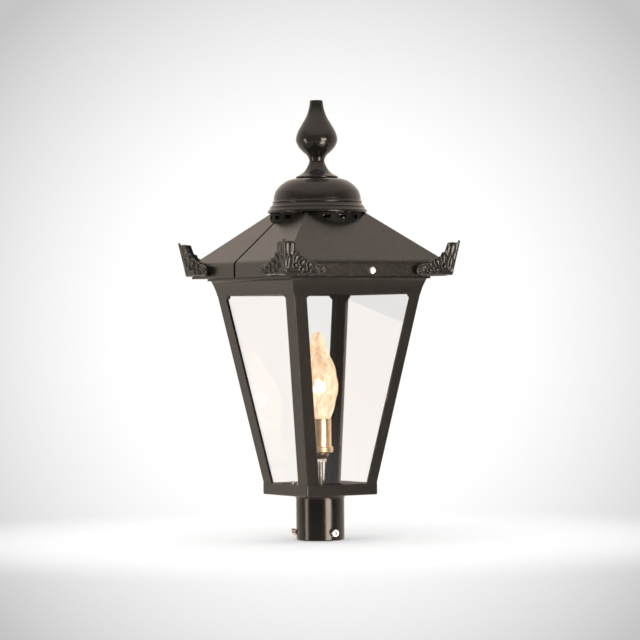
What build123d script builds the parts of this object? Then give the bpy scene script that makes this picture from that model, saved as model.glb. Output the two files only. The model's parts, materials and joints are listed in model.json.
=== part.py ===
from build123d import *
import math
import os

# Square tapered post top lantern, in millimetres.
# Origin: centre of the socket's open lower end. +Z up, faces normal to X and Y, front face -Y.
# Half sizes are measured from the lantern's axis to a flat face.

# ------------------------------------------------------------------ driving sizes

# Post socket, which slides over the top of a lamp post
POST_DIAMETER = 76.0
SOCKET_CLEARANCE = 0.5
SOCKET_WALL = 3.5
SOCKET_DEPTH = 74.0
SHELF_THICKNESS = 5.3
SHELF_HOLE_RADIUS = 30.0
SOCKET_FLARE = 8.5
SOCKET_LIP_ROUND = 3.0
FLANGE_LAND = 11.2
FLANGE_GAP = 0.3
FLANGE_THICKNESS = 4.0
FLANGE_CORNER = 12.0
FLANGE_SCREW_EDGE = 11.7

# Set bolts in the socket
SET_BOLT_RADIUS = 4.0
SET_BOLT_HEAD_RADIUS = 6.5
SET_BOLT_HEAD_HEIGHT = 8.0
SET_BOLT_HEX = 6.0
SET_BOLT_STANDOFF = 1.3
SET_BOLT_TIP_GAP = 0.3
SET_BOLT_HEIGHT = 14.0
SET_BOLT_ANGLES = (-90.0, 30.0, 150.0)

# Bottom frame and base plate
RAIL_HEIGHT = 20.0
RAIL_WALL = 3.5
LEDGE_WIDTH = 10.8
RAIL_CORNER_ROUND = 3.0
RAIL_FOOT_ROUND = 2.4
PLATE_THICKNESS = 3.0
PLATE_SIDE_GAP = 0.3

# Corner posts: leg_x lies on the left and right faces, leg_y on the front and rear faces
FOOT_STEP = 0.8
LEAN = 0.1724
POST_RISE = 327.2
LEG_X = 27.5
LEG_Y = 20.0
LEG_THICKNESS = 3.0
POST_CORE = 10.0
POST_CORNER_ROUND = 1.6
WINDOW_ROUND = 6.0

# Glass panes and their beads
PANE_THICKNESS = 3.0
PANE_GAP = 0.2
PANE_SIDE_GAP = 0.7
PANE_FOOT_GAP = 0.3
PANE_TOP_OVERLAP = 5.0
BEAD_WIDTH = 7.0
BEAD_DEPTH = 3.0

# Top frame: cove cornice, bead and inner curb
CORNICE_HEIGHT = 26.5
CORNICE_FLARE = 8.3
COVE_SAG = 0.9
FRAME_BEAD_OUT = 4.3
FRAME_BEAD_HEIGHT = 3.7
FRAME_WALL = 3.05
TOP_LEDGE_RISE = 6.0
TOP_LEDGE_THICKNESS = 3.5
TOP_LEDGE_WIDTH = 16.4
CURB_HEIGHT = 15.3
CURB_THICKNESS = 3.0

# Roof
ROOF_SEAT_GAP = 0.3
ROOF_OVERHANG = 24.3
FASCIA_HEIGHT = 25.0
ROOF_SLOPE = 0.863
SHEET = 2.0
EAVE_FOLD = 11.0
SOFFIT_GAP = 1.7
SOFFIT_SIDE_GAP = 0.3
SEAM_AT_Y = 13.0
SEAM_WIDTH = 3.0
SEAM_STRIP_WIDTH = 24.0
SEAM_STRIP_THICKNESS = 1.5

# Ventilator, dome and finial
COLLAR_RADIUS = 82.4
COLLAR_WALL = 3.0
COLLAR_SKIRT = 2.0
SKIRT_GAP = 0.4
SKIRT_DROP = 12.0
COLLAR_RISE = 18.2
COLLAR_FLANGE = 3.0
COLLAR_LAND = 17.0
VENT_SLOT_WIDTH = 13.0
VENT_SLOT_HEIGHT = 6.0
VENT_SLOT_ANGLES = (-20.0, 0.0, 20.0)
DOME_RIM_GAP = 1.6
DOME_OVERHANG = 4.1
DOME_RIM_BAND = 4.5
DOME_BEAD_HEIGHT = 4.0
DOME_BEAD_OUT = 1.5
DOME_NECK_IN = 10.5
DOME_CROWN_RADIUS = 37.0
DOME_NECK_RISE = 21.0
DOME_HEIGHT = 60.0
DOME_WALL = 2.5
BRIDGE_THICKNESS = 3.0
BRIDGE_WIDTH = 16.0
BRIDGE_LAND = 12.0
BRIDGE_SCREW_LAND = 5.5
STUD_RADIUS = 6.0
STUD_IN_FINIAL = 35.0
STUD_TAIL = 10.0
SPACER_RADIUS = 9.5
STUD_NUT_FLATS = 18.0
STUD_NUT_HEIGHT = 8.0
FINIAL_FOOT_EDGE = 4.0
FINIAL_NECK_RADIUS = 13.2
FINIAL_NECK_RISE = 30.0
FINIAL_BELLY_RADIUS = 36.3
FINIAL_BELLY_RISE = 68.0
FINIAL_TOP_RADIUS = 11.2
FINIAL_HEIGHT = 136.4

# Corner crests
CREST_OUT = 8.0
CREST_LEAN = 0.17
CREST_THICKNESS = 5.0
CREST_LENGTH = 75.0
CREST_TIP = 60.0
CREST_LIFT = 1.0
CREST_PAD = 14.0
CREST_SCREW_AT = 58.0
CREST_SCREW_RISE = 8.0
CREST_SCREW_GRIP = 5.5

# Roof hinge on the rear face and catch screw on the front face
HINGE_CREST_GAP = 8.0
HINGE_WIDTH = 32.0
HINGE_AXIS_OUT = 5.5
HINGE_AXIS_RISE = 3.0
KNUCKLE_RADIUS = 4.0
KNUCKLE_MIDDLE = 14.0
KNUCKLE_GAP = 0.3
HINGE_PIN_RADIUS = 2.0
LEAF_THICKNESS = 2.0
LEAF_HEIGHT = 18.0
LEAF_CLEAR = 5.5
HINGE_SCREW_RADIUS = 1.4
HINGE_SCREW_HEAD = 2.6
STRAP_THICKNESS = 2.7
CATCH_AT_X = 8.0
CATCH_RISE = 9.0
CATCH_RADIUS = 3.0
CATCH_HEAD_RADIUS = 6.0
CATCH_HEAD_HEIGHT = 5.0
CATCH_TIP_GAP = 0.8
CATCH_NUT_RADIUS = 6.2
CATCH_NUT_LENGTH = 7.0

# Lamp and lampholder
STEM_RADIUS = 5.0
STEM_BORE = 3.4
STEM_TAIL = 6.0
STEM_NUT_FLATS = 22.0
STEM_NUT_HEIGHT = 5.0
HOLDER_ABOVE_PLATE = 55.0
HOLDER_BASE_HEIGHT = 11.0
HOLDER_BASE_RADIUS = 16.0
SHADE_RING_RADIUS = 23.0
SHADE_RING_HEIGHT = 11.0
SLEEVE_RADIUS = 20.0
SLEEVE_WALL = 1.8
SLEEVE_HEIGHT = 49.0
INSERT_CLEARANCE = 0.5
INSERT_HEIGHT = 30.0
INSERT_FLOOR = 4.0
LAMP_CAP_RADIUS = 13.1
LAMP_CAP_LENGTH = 24.0
LAMP_CAP_GAP = 2.0
ENVELOPE_WALL = 1.2
ENVELOPE_STEP = 0.5
ENVELOPE_BELLY = 30.0
ENVELOPE_HEIGHT = 169.7
FILAMENT_RADIUS = 0.9
FILAMENT_SPREAD = 2.6
MOUNT_HEIGHT = 40.0
MOUNT_GAP = 0.5
LAMP_BUTTON_RADIUS = 4.0

# Electrical pieces on the base plate
GROMMET_AT = 21.5
GROMMET_BORE = 4.0
GROMMET_NECK = 5.5
GROMMET_FLANGE = 7.5
GROMMET_FLANGE_THICKNESS = 2.0
BLOCK_LENGTH = 34.0
BLOCK_DEPTH = 18.0
BLOCK_HEIGHT = 13.0
BLOCK_EDGE = 31.0
BLOCK_WAYS = 3
EARTH_EDGE_X = 33.0
EARTH_EDGE_Y = 39.0
EARTH_RADIUS = 2.5
EARTH_HEIGHT = 16.0
EARTH_FLATS = 8.0

# Small screws
FIT = 0.05
SMALL_SCREW_RADIUS = 2.0
SMALL_HEAD_RADIUS = 3.6
SMALL_HEAD_HEIGHT = 2.4
FRAME_SCREW_GRIP = 12.0
FRAME_SCREW_AT = 5.5
FRAME_SCREW_TOP_AT = 6.5
SOCKET_SCREW_RADIUS = 3.0
SOCKET_SCREW_HEAD = 5.6
SOCKET_NUT_FLATS = 10.0
SOCKET_NUT_HEIGHT = 5.0

# ------------------------------------------------------------------ derived levels and places

def body_half(z):
    """Half size of the tapered body's outer faces at a height."""
    return BASE_HALF - FOOT_STEP + LEAN * (z - RAIL_TOP)


SOCKET_BORE = POST_DIAMETER / 2 + SOCKET_CLEARANCE
SOCKET_RADIUS = SOCKET_BORE + SOCKET_WALL
FRAME_Z = SOCKET_DEPTH + SHELF_THICKNESS
FLARE_RADIUS = SOCKET_RADIUS + SOCKET_FLARE
FLANGE_HALF = FLARE_RADIUS + FLANGE_LAND
FLANGE_SCREW_AT = FLANGE_HALF - FLANGE_SCREW_EDGE
LEDGE_HALF = FLANGE_HALF + FLANGE_GAP
BASE_HALF = LEDGE_HALF + LEDGE_WIDTH
FLANGE_TOP = FRAME_Z + FLANGE_THICKNESS
PLATE_TOP = FLANGE_TOP + PLATE_THICKNESS
PLATE_HALF = BASE_HALF - RAIL_WALL - PLATE_SIDE_GAP
BLOCK_AT_Y = PLATE_HALF - BLOCK_EDGE
EARTH_AT = (EARTH_EDGE_X - PLATE_HALF, PLATE_HALF - EARTH_EDGE_Y)
RAIL_TOP = FRAME_Z + RAIL_HEIGHT
POST_TOP = RAIL_TOP + POST_RISE
CORNICE_TOP = POST_TOP + CORNICE_HEIGHT
CORNICE_FOOT = body_half(POST_TOP)
CORNICE_HALF = CORNICE_FOOT + CORNICE_FLARE
CURB_HALF = CORNICE_HALF
FRAME_BEAD_HALF = CORNICE_HALF + FRAME_BEAD_OUT
TOP_LEDGE_HALF = CORNICE_FOOT - TOP_LEDGE_WIDTH
FRAME_BEAD_TOP = CORNICE_TOP + FRAME_BEAD_HEIGHT
CURB_TOP = FRAME_BEAD_TOP + CURB_HEIGHT
TOP_LEDGE_Z = POST_TOP + TOP_LEDGE_RISE
TOP_LEDGE_TOP = TOP_LEDGE_Z + TOP_LEDGE_THICKNESS
PANE_TOP = POST_TOP + PANE_TOP_OVERLAP
PANE_FOOT = PLATE_TOP + PANE_FOOT_GAP
ROOF_Z = FRAME_BEAD_TOP + ROOF_SEAT_GAP
EAVE_Z = ROOF_Z + FASCIA_HEIGHT
EAVE_HALF = CURB_HALF + ROOF_OVERHANG
ROOF_APEX = EAVE_Z + EAVE_HALF * ROOF_SLOPE
COLLAR_TOP = ROOF_APEX - ROOF_SLOPE * COLLAR_RADIUS + COLLAR_RISE
ROOF_HOLE = COLLAR_RADIUS - COLLAR_WALL
SKIRT_RADIUS = ROOF_HOLE - SKIRT_GAP
SKIRT_BORE = SKIRT_RADIUS - COLLAR_SKIRT
COLLAR_OPENING = SKIRT_BORE - COLLAR_LAND
BRIDGE_HALF = COLLAR_OPENING + BRIDGE_LAND
BRIDGE_SCREW_AT = COLLAR_OPENING + BRIDGE_SCREW_LAND
DOME_RIM_RADIUS = COLLAR_RADIUS + DOME_OVERHANG
DOME_NECK_RADIUS = DOME_RIM_RADIUS - DOME_NECK_IN
FINIAL_FOOT_RADIUS = DOME_CROWN_RADIUS
BRIDGE_TOP = COLLAR_TOP + BRIDGE_THICKNESS
DOME_Z = COLLAR_TOP + DOME_RIM_GAP
CROWN_Z = DOME_Z + DOME_HEIGHT
CREST_HALF = EAVE_HALF + CREST_OUT
HINGE_AT_X = CREST_HALF - CREST_LENGTH - HINGE_CREST_GAP - HINGE_WIDTH / 2
HINGE_Y = EAVE_HALF + HINGE_AXIS_OUT
HINGE_Z = ROOF_Z + HINGE_AXIS_RISE
CATCH_Z = ROOF_Z + CATCH_RISE
HOLDER_Z = PLATE_TOP + HOLDER_ABOVE_PLATE
RING_Z = HOLDER_Z + HOLDER_BASE_HEIGHT
SLEEVE_Z = RING_Z + SHADE_RING_HEIGHT
SLEEVE_TOP = SLEEVE_Z + SLEEVE_HEIGHT
INSERT_BORE = LAMP_CAP_RADIUS + INSERT_CLEARANCE
LAMP_Z = SLEEVE_Z + INSERT_FLOOR + LAMP_CAP_GAP
ENVELOPE_Z = LAMP_Z + LAMP_CAP_LENGTH
ENVELOPE_NECK = LAMP_CAP_RADIUS - ENVELOPE_STEP
FACE_STRETCH = math.sqrt(1 + LEAN * LEAN)

# The four corners, by name, with the signs of X and Y
CORNERS = {"front": (-1, -1), "right": (1, -1), "rear": (1, 1), "left": (-1, 1)}


# ------------------------------------------------------------------ shared shapes

def save(name, shape):
    """Write one node's STEP file."""
    export_step(shape, f"parts/{name}.step")


def box(x0, x1, y0, y1, z0, z1):
    """Box between two corners."""
    return Pos((x0 + x1) / 2, (y0 + y1) / 2, (z0 + z1) / 2) * Box(
        abs(x1 - x0), abs(y1 - y0), abs(z1 - z0)
    )


def rod(radius, z0, z1, x=0.0, y=0.0):
    """Upright cylinder between two heights."""
    return Pos(x, y, (z0 + z1) / 2) * Cylinder(radius, z1 - z0)


def tube(outer, inner, z0, z1, x=0.0, y=0.0):
    """Upright tube between two heights."""
    return rod(outer, z0, z1, x, y) - rod(inner, z0 - 1, z1 + 1, x, y)


def hex_nut(flats, bore, z0, height, x=0.0, y=0.0):
    """Hexagonal nut with its lower face at z0."""
    blank = extrude(RegularPolygon(flats / 2, 6, major_radius=False), height)
    return Pos(x, y, z0) * blank - rod(bore, z0 - 1, z0 + height + 1, x, y)


def turned(outline):
    """Solid turned about Z from a closed outline drawn as (radius, height)."""
    return revolve(Plane.XZ * make_face(outline.edges()), Axis.Z)


def symmetric_face(half_profile):
    """Face from a half profile of (half size, height) that starts and ends on the axis."""
    return make_face((half_profile + mirror(half_profile, Plane.YZ)).edges())


def square_prism(face):
    """Four-sided mitred solid with the same symmetric profile along X and along Y."""
    reach = 2 * EAVE_HALF
    along_y = extrude(Plane.XZ * face, reach, both=True)
    along_x = extrude(Plane.YZ * face, reach, both=True)
    return along_y & along_x


def group(shapes):
    """One compound that keeps its members as separate solids."""
    return Compound(children=list(shapes))


# ------------------------------------------------------------------ post socket and base

def set_bolt_frame(angle):
    """Plane at the socket wall whose normal points outwards at an angle."""
    turn = math.radians(angle)
    outward = Vector(math.cos(turn), math.sin(turn), 0)
    return Plane(origin=Vector(0, 0, SET_BOLT_HEIGHT), z_dir=outward)


def socket_screw_places():
    """The four screws of the socket's flange."""
    return [(x * FLANGE_SCREW_AT, y * FLANGE_SCREW_AT) for x, y in CORNERS.values()]


def post_socket():
    """Tube over the post, with a stop shelf and a flared top."""
    edges = (
        Polyline(
            (SOCKET_BORE, 0),
            (SOCKET_BORE, SOCKET_DEPTH),
            (SHELF_HOLE_RADIUS, SOCKET_DEPTH),
            (SHELF_HOLE_RADIUS, FLANGE_TOP),
            (FLARE_RADIUS, FLANGE_TOP),
            (FLARE_RADIUS, FRAME_Z),
        )
        + RadiusArc((FLARE_RADIUS, FRAME_Z), (SOCKET_RADIUS, FRAME_Z - SOCKET_FLARE), -SOCKET_FLARE)
        + Polyline(
            (SOCKET_RADIUS, FRAME_Z - SOCKET_FLARE),
            (SOCKET_RADIUS, SOCKET_LIP_ROUND),
        )
        + RadiusArc((SOCKET_RADIUS, SOCKET_LIP_ROUND), (SOCKET_RADIUS - SOCKET_LIP_ROUND, 0),
                    SOCKET_LIP_ROUND)
        + Line((SOCKET_RADIUS - SOCKET_LIP_ROUND, 0), (SOCKET_BORE, 0))
    )
    body = turned(edges)
    for angle in SET_BOLT_ANGLES:
        body -= set_bolt_frame(angle) * Pos(0, 0, SOCKET_RADIUS) * Cylinder(
            SET_BOLT_RADIUS + FIT, 3 * SOCKET_WALL)
    return body


def socket_flange():
    """Square plate welded round the socket's flared top."""
    flange = extrude(
        Pos(0, 0, FRAME_Z) * RectangleRounded(2 * FLANGE_HALF, 2 * FLANGE_HALF, FLANGE_CORNER),
        FLANGE_THICKNESS,
    )
    flange -= rod(FLARE_RADIUS, FRAME_Z - 1, FLANGE_TOP + 1)
    for x, y in socket_screw_places():
        flange -= countersunk(SOCKET_SCREW_RADIUS + FIT, SOCKET_SCREW_HEAD + FIT, FRAME_Z,
                              FLANGE_TOP + 1, x, y)
    return flange


def countersunk(radius, head, z0, z1, x, y):
    """Screw or hole with a countersunk head at z0 and its end at z1."""
    depth = head - radius
    cone = Pos(x, y, z0 + depth / 2) * Cone(head, radius, depth)
    return cone + rod(radius, z0 + depth / 2, z1, x, y)


def set_bolt(angle):
    """Short cap screw with a hexagon recess, backed off just clear of the bore."""
    tip = SOCKET_BORE + SET_BOLT_TIP_GAP
    seat = SOCKET_RADIUS + SET_BOLT_STANDOFF
    shank = Pos(0, 0, (tip + seat) / 2) * Cylinder(SET_BOLT_RADIUS, seat - tip)
    head = Pos(0, 0, seat + SET_BOLT_HEAD_HEIGHT / 2) * Cylinder(
        SET_BOLT_HEAD_RADIUS, SET_BOLT_HEAD_HEIGHT)
    head = chamfer(head.edges().sort_by(Axis.Z)[-1], 0.7)
    recess = extrude(RegularPolygon(SET_BOLT_HEX / 2, 6, major_radius=False), SET_BOLT_HEX)
    top = seat + SET_BOLT_HEAD_HEIGHT
    head -= Pos(0, 0, top - 0.6 * SET_BOLT_HEAD_HEIGHT) * recess
    return set_bolt_frame(angle) * (shank + head)


def base_plate():
    """Square floor plate, notched round the frame's corner bosses."""
    plate = box(-PLATE_HALF, PLATE_HALF, -PLATE_HALF, PLATE_HALF, FLANGE_TOP, PLATE_TOP)
    boss = BASE_HALF - POST_CORE - PLATE_SIDE_GAP
    for x, y in CORNERS.values():
        plate -= box(x * boss, x * BASE_HALF, y * boss, y * BASE_HALF, FLANGE_TOP - 1, PLATE_TOP + 1)
    for x, y in socket_screw_places():
        plate -= rod(SOCKET_SCREW_RADIUS + FIT, FLANGE_TOP - 1, PLATE_TOP + 1, x, y)
    for x, y in base_screw_places():
        plate -= rod(SMALL_SCREW_RADIUS + FIT, FLANGE_TOP - 1, PLATE_TOP + 1, x, y)
    plate -= rod(STEM_RADIUS + FIT, FLANGE_TOP - 1, PLATE_TOP + 1)
    plate -= rod(GROMMET_NECK + FIT, FLANGE_TOP - 1, PLATE_TOP + 1, GROMMET_AT, 0)
    plate -= rod(EARTH_RADIUS + FIT, FLANGE_TOP - 1, PLATE_TOP + 1, *EARTH_AT)
    return plate


def base_screw_places():
    """One screw in the middle of each side of the bottom frame's ledge."""
    at = (LEDGE_HALF + BASE_HALF - RAIL_WALL) / 2
    return [(at, 0), (-at, 0), (0, at), (0, -at)]


def bottom_frame():
    """Square cast rail with an inner ledge and a boss under each corner post."""
    inner = BASE_HALF - RAIL_WALL
    ring = box(-BASE_HALF, BASE_HALF, -BASE_HALF, BASE_HALF, FRAME_Z, RAIL_TOP)
    ring = fillet(ring.edges().filter_by(Axis.Z), RAIL_CORNER_ROUND)
    ring = fillet(ring.edges().group_by(Axis.Z)[0], RAIL_FOOT_ROUND)
    ring -= box(-inner, inner, -inner, inner, FLANGE_TOP, RAIL_TOP + 1)
    ring -= box(-LEDGE_HALF, LEDGE_HALF, -LEDGE_HALF, LEDGE_HALF, FRAME_Z - 1, FLANGE_TOP + 1)
    boss = BASE_HALF - POST_CORE
    for x, y in CORNERS.values():
        ring += box(x * boss, x * (inner + 1), y * boss, y * (inner + 1), FLANGE_TOP, RAIL_TOP)
        at = body_half(RAIL_TOP) - FRAME_SCREW_AT
        ring -= rod(SMALL_SCREW_RADIUS + FIT, FRAME_Z - 1, RAIL_TOP + 1, x * at, y * at)
        ring -= rod(SMALL_HEAD_RADIUS + FIT, FRAME_Z - 1, FRAME_Z + SMALL_HEAD_HEIGHT,
                    x * at, y * at)
    for x, y in base_screw_places():
        ring -= countersunk(SMALL_SCREW_RADIUS + FIT, SMALL_HEAD_RADIUS + FIT, FRAME_Z,
                            FLANGE_TOP + 1, x, y)
    return ring


# ------------------------------------------------------------------ corner posts and panes

def sloped_bar(points, z0, z1, sx, sy, round_at=None):
    """Bar along a corner's slope.

    The points are (distance in from the X face, distance in from the Y face) at the corner
    with signs sx, sy. All its sides stay parallel to the leaning faces.
    """
    half = body_half(z0)
    plan = [(sx * (half - x), sy * (half - y)) for x, y in points]
    face = make_face(Polyline(*plan, close=True).edges())
    if round_at is not None:
        corner = Vector(*plan[round_at], 0)
        vertex = min(face.vertices(), key=lambda v: (Vector(*v) - corner).length)
        face = fillet(vertex, POST_CORNER_ROUND)
    rise = z1 - z0
    face = Pos(0, 0, z0) * face
    return Solid.extrude(face.faces()[0], Vector(sx * LEAN * rise, sy * LEAN * rise, rise))


def window_corner(quarter, end):
    """Rounded web in one upper corner of a side's window, in the plane of the posts' legs."""
    leg = LEG_X if quarter % 2 else LEG_Y
    low = POST_TOP - WINDOW_ROUND
    corner = (end * (body_half(POST_TOP) - leg), POST_TOP)
    edge = (end * (body_half(low) - leg), low)
    inner = (corner[0] - end * WINDOW_ROUND, POST_TOP)
    web = make_face((Line(corner, edge) + RadiusArc(edge, inner, end * WINDOW_ROUND)
                     + Line(inner, corner)).edges())
    block = extrude(Plane.XZ * web, 2 * EAVE_HALF)
    return Rot(0, 0, 90 * quarter) * (block & leaning_slab(0, LEG_THICKNESS, low, POST_TOP))


def corner_post(index):
    """Angle bar with two unequal legs and a square core, tapped at both ends."""
    sx, sy = list(CORNERS.values())[index]
    t = LEG_THICKNESS * FACE_STRETCH
    points = [(0, 0), (0, LEG_X), (t, LEG_X), (t, POST_CORE), (POST_CORE, POST_CORE),
              (POST_CORE, t), (LEG_Y, t), (LEG_Y, 0)]
    bar = sloped_bar(points, RAIL_TOP, POST_TOP, sx, sy, round_at=0)
    foot = body_half(RAIL_TOP) - FRAME_SCREW_AT
    head = body_half(POST_TOP) - FRAME_SCREW_TOP_AT
    hole = SMALL_SCREW_RADIUS + FIT
    bar -= rod(hole, RAIL_TOP - 1, RAIL_TOP + FRAME_SCREW_GRIP + 1, sx * foot, sy * foot)
    bar -= rod(hole, POST_TOP - FRAME_SCREW_GRIP - 1, POST_TOP + 1, sx * head, sy * head)
    return bar + window_corner(index, -1) + window_corner((index - 1) % 4, 1)


def frame_screws():
    """Eight screws that join the corner posts to the bottom and top frames."""
    screws = []
    foot = body_half(RAIL_TOP) - FRAME_SCREW_AT
    head = body_half(POST_TOP) - FRAME_SCREW_TOP_AT
    recess = FRAME_Z + SMALL_HEAD_HEIGHT
    for sx, sy in CORNERS.values():
        x, y = sx * foot, sy * foot
        lower = rod(SMALL_HEAD_RADIUS, recess - 2, recess, x, y)
        screws.append(lower + rod(SMALL_SCREW_RADIUS, recess, RAIL_TOP + FRAME_SCREW_GRIP, x, y))
        x, y = sx * head, sy * head
        upper = rod(SMALL_HEAD_RADIUS, TOP_LEDGE_TOP, TOP_LEDGE_TOP + SMALL_HEAD_HEIGHT, x, y)
        screws.append(upper + rod(SMALL_SCREW_RADIUS, POST_TOP - FRAME_SCREW_GRIP, TOP_LEDGE_TOP,
                                  x, y))
    return group(screws)


def leaning_slab(depth, thickness, z0, z1):
    """Leaning slab at the front, its outer plane at a square depth behind the body's face."""
    out = depth * FACE_STRETCH
    back = out + thickness * FACE_STRETCH
    low = body_half(z0)
    high = body_half(z1)
    profile = Polyline((low - out, z0), (high - out, z1), (high - back, z1), (low - back, z0),
                       close=True)
    face = Plane.YZ * mirror(make_face(profile.edges()), Plane.YZ)
    return extrude(face, 2 * EAVE_HALF, both=True)


def glass_pane(turn):
    """Trapezoid pane on the leaning front plane, turned to its side."""
    side = POST_CORE + PANE_SIDE_GAP
    low = body_half(PANE_FOOT)
    high = body_half(PANE_TOP)
    corners = [(-(low - side), PANE_FOOT), (low - side, PANE_FOOT),
               (high - side, PANE_TOP), (-(high - side), PANE_TOP)]
    outline = make_face(Polyline(*corners, close=True).edges())
    block = extrude(Plane.XZ * outline, 2 * EAVE_HALF)
    slab = leaning_slab(LEG_THICKNESS + PANE_GAP, PANE_THICKNESS, PANE_FOOT, PANE_TOP)
    return Rot(0, 0, turn) * (block & slab)


def glazing_beads():
    """Eight strips that hold the pane edges against the posts."""
    strips = []
    d0 = (LEG_THICKNESS + PANE_GAP + PANE_THICKNESS + PANE_GAP) * FACE_STRETCH
    d1 = d0 + BEAD_DEPTH
    w0 = POST_CORE
    w1 = POST_CORE + BEAD_WIDTH
    for sx, sy in CORNERS.values():
        strips.append(sloped_bar([(d0, w0), (d0, w1), (d1, w1), (d1, w0)], RAIL_TOP, POST_TOP, sx, sy))
        strips.append(sloped_bar([(w0, d0), (w1, d0), (w1, d1), (w0, d1)], RAIL_TOP, POST_TOP, sx, sy))
    return group(strips)


# ------------------------------------------------------------------ top frame

def top_frame():
    """Cove cornice with a bead, an inner ledge, corner bosses and a curb inside the roof."""
    mid = ((CORNICE_FOOT + CORNICE_HALF) / 2 - COVE_SAG, (POST_TOP + CORNICE_TOP) / 2)
    outer = (
        Line((0, POST_TOP), (CORNICE_FOOT, POST_TOP))
        + ThreePointArc((CORNICE_FOOT, POST_TOP), mid, (CORNICE_HALF, CORNICE_TOP))
        + Polyline(
            (CORNICE_HALF, CORNICE_TOP),
            (FRAME_BEAD_HALF, CORNICE_TOP),
            (FRAME_BEAD_HALF, FRAME_BEAD_TOP),
            (CURB_HALF, FRAME_BEAD_TOP),
            (CURB_HALF, CURB_TOP),
            (0, CURB_TOP),
        )
    )
    ledge_wall = body_half(TOP_LEDGE_Z) - FRAME_WALL
    curb_inner = CURB_HALF - CURB_THICKNESS
    inner = Polyline(
        (0, POST_TOP - 1),
        (CORNICE_FOOT - FRAME_WALL - LEAN, POST_TOP - 1),
        (ledge_wall, TOP_LEDGE_Z),
        (TOP_LEDGE_HALF, TOP_LEDGE_Z),
        (TOP_LEDGE_HALF, TOP_LEDGE_TOP),
        (ledge_wall, TOP_LEDGE_TOP),
        (curb_inner, CORNICE_TOP),
        (curb_inner, CURB_TOP + 1),
        (0, CURB_TOP + 1),
    )
    ring = square_prism(symmetric_face(outer)) - square_prism(symmetric_face(inner))
    at = body_half(POST_TOP) - FRAME_SCREW_TOP_AT
    for sx, sy in CORNERS.values():
        near = body_half(PANE_TOP) - POST_CORE
        far = CORNICE_FOOT - 1
        ring += box(sx * near, sx * far, sy * near, sy * far, POST_TOP, TOP_LEDGE_TOP)
        ring -= rod(SMALL_SCREW_RADIUS + FIT, POST_TOP - 1, TOP_LEDGE_TOP + 1, sx * at, sy * at)
    for x, y in hinge_screw_places():
        ring -= rod(HINGE_SCREW_RADIUS + FIT, CORNICE_TOP - 1, FRAME_BEAD_TOP - 1 + FIT, x, y)
    return ring


# ------------------------------------------------------------------ roof

def roof_solid(inset):
    """Hipped block under the roof's surface, with its eaves folded to a radius.

    An inset block stands inside the sheet and reaches below its open underside.
    """
    half = EAVE_HALF - inset
    apex = ROOF_APEX - inset * math.sqrt(1 + ROOF_SLOPE ** 2)
    eave = apex - half * ROOF_SLOPE
    bottom = ROOF_Z if inset == 0 else ROOF_Z - 1
    face = symmetric_face(Polyline((0, bottom), (half, bottom), (half, eave), (0, apex)))
    folds = [v for v in face.vertices() if abs(v.Y - eave) < 0.01 and abs(abs(v.X) - half) < 0.01]
    return square_prism(fillet(folds, max(EAVE_FOLD - inset, SHEET)))


def catch_axis(distance):
    """Plane on the catch screw's axis, facing forwards at a distance from the lantern's axis."""
    return Plane(origin=(CATCH_AT_X, -distance, CATCH_Z), z_dir=(0, -1, 0))


def crest_screw_places():
    """Planes in the fascia, facing outwards, one behind each leaf of each crest."""
    at = CREST_HALF - CREST_SCREW_AT
    z = ROOF_Z + CREST_LIFT + CREST_SCREW_RISE
    places = []
    for quarter in range(4):
        turn = Rot(0, 0, 90 * quarter)
        places.append(turn * Plane(origin=(at, EAVE_HALF, z), z_dir=(0, 1, 0)).location)
        places.append(turn * Plane(origin=(EAVE_HALF, at, z), z_dir=(1, 0, 0)).location)
    return places


def leaf_rivet_places():
    """Planes on the rear fascia, facing outwards, two through each hinge leaf."""
    z = HINGE_Z + LEAF_CLEAR + (LEAF_HEIGHT - LEAF_CLEAR) / 2
    offset = HINGE_WIDTH / 2 - 2 * SMALL_HEAD_RADIUS + SMALL_SCREW_RADIUS
    xs = [side * HINGE_AT_X + end * offset for side in (-1, 1) for end in (-1, 1)]
    return [Plane(origin=(x, EAVE_HALF, z), z_dir=(0, 1, 0)).location for x in xs]


def roof_shell():
    """Hipped sheet roof with a vertical fascia, an open seam and a round ventilator hole."""
    shell = roof_solid(0) - roof_solid(SHEET)
    shell -= rod(ROOF_HOLE, EAVE_Z, ROOF_APEX + 1)
    shell -= box(-EAVE_HALF - 1, 0, SEAM_AT_Y - SEAM_WIDTH / 2, SEAM_AT_Y + SEAM_WIDTH / 2,
                 ROOF_Z - 1, ROOF_APEX)
    shell -= catch_axis(EAVE_HALF) * Cylinder(CATCH_RADIUS + FIT, 4 * SHEET)
    for place in crest_screw_places() + leaf_rivet_places():
        shell -= place * Cylinder(SMALL_SCREW_RADIUS + FIT, 4 * SHEET)
    return shell


def roof_soffit():
    """Flat ring that closes the underside of the eaves and rests on the top frame."""
    outer = EAVE_HALF - SHEET - SOFFIT_SIDE_GAP
    inner = CURB_HALF + SOFFIT_GAP
    plate = box(-outer, outer, -outer, outer, ROOF_Z, ROOF_Z + SHEET)
    return plate - box(-inner, inner, -inner, inner, ROOF_Z - 1, ROOF_Z + SHEET + 1)


def roof_seam_strip():
    """Strip that follows the roof's inner surface behind the open seam."""
    skin = roof_solid(SHEET) - roof_solid(SHEET + SEAM_STRIP_THICKNESS)
    half = SEAM_STRIP_WIDTH / 2
    window = box(-EAVE_HALF, -ROOF_HOLE - SEAM_STRIP_THICKNESS, SEAM_AT_Y - half, SEAM_AT_Y + half,
                 ROOF_Z + SHEET + SOFFIT_SIDE_GAP, ROOF_APEX)
    return skin & window


# ------------------------------------------------------------------ corner crests

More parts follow.
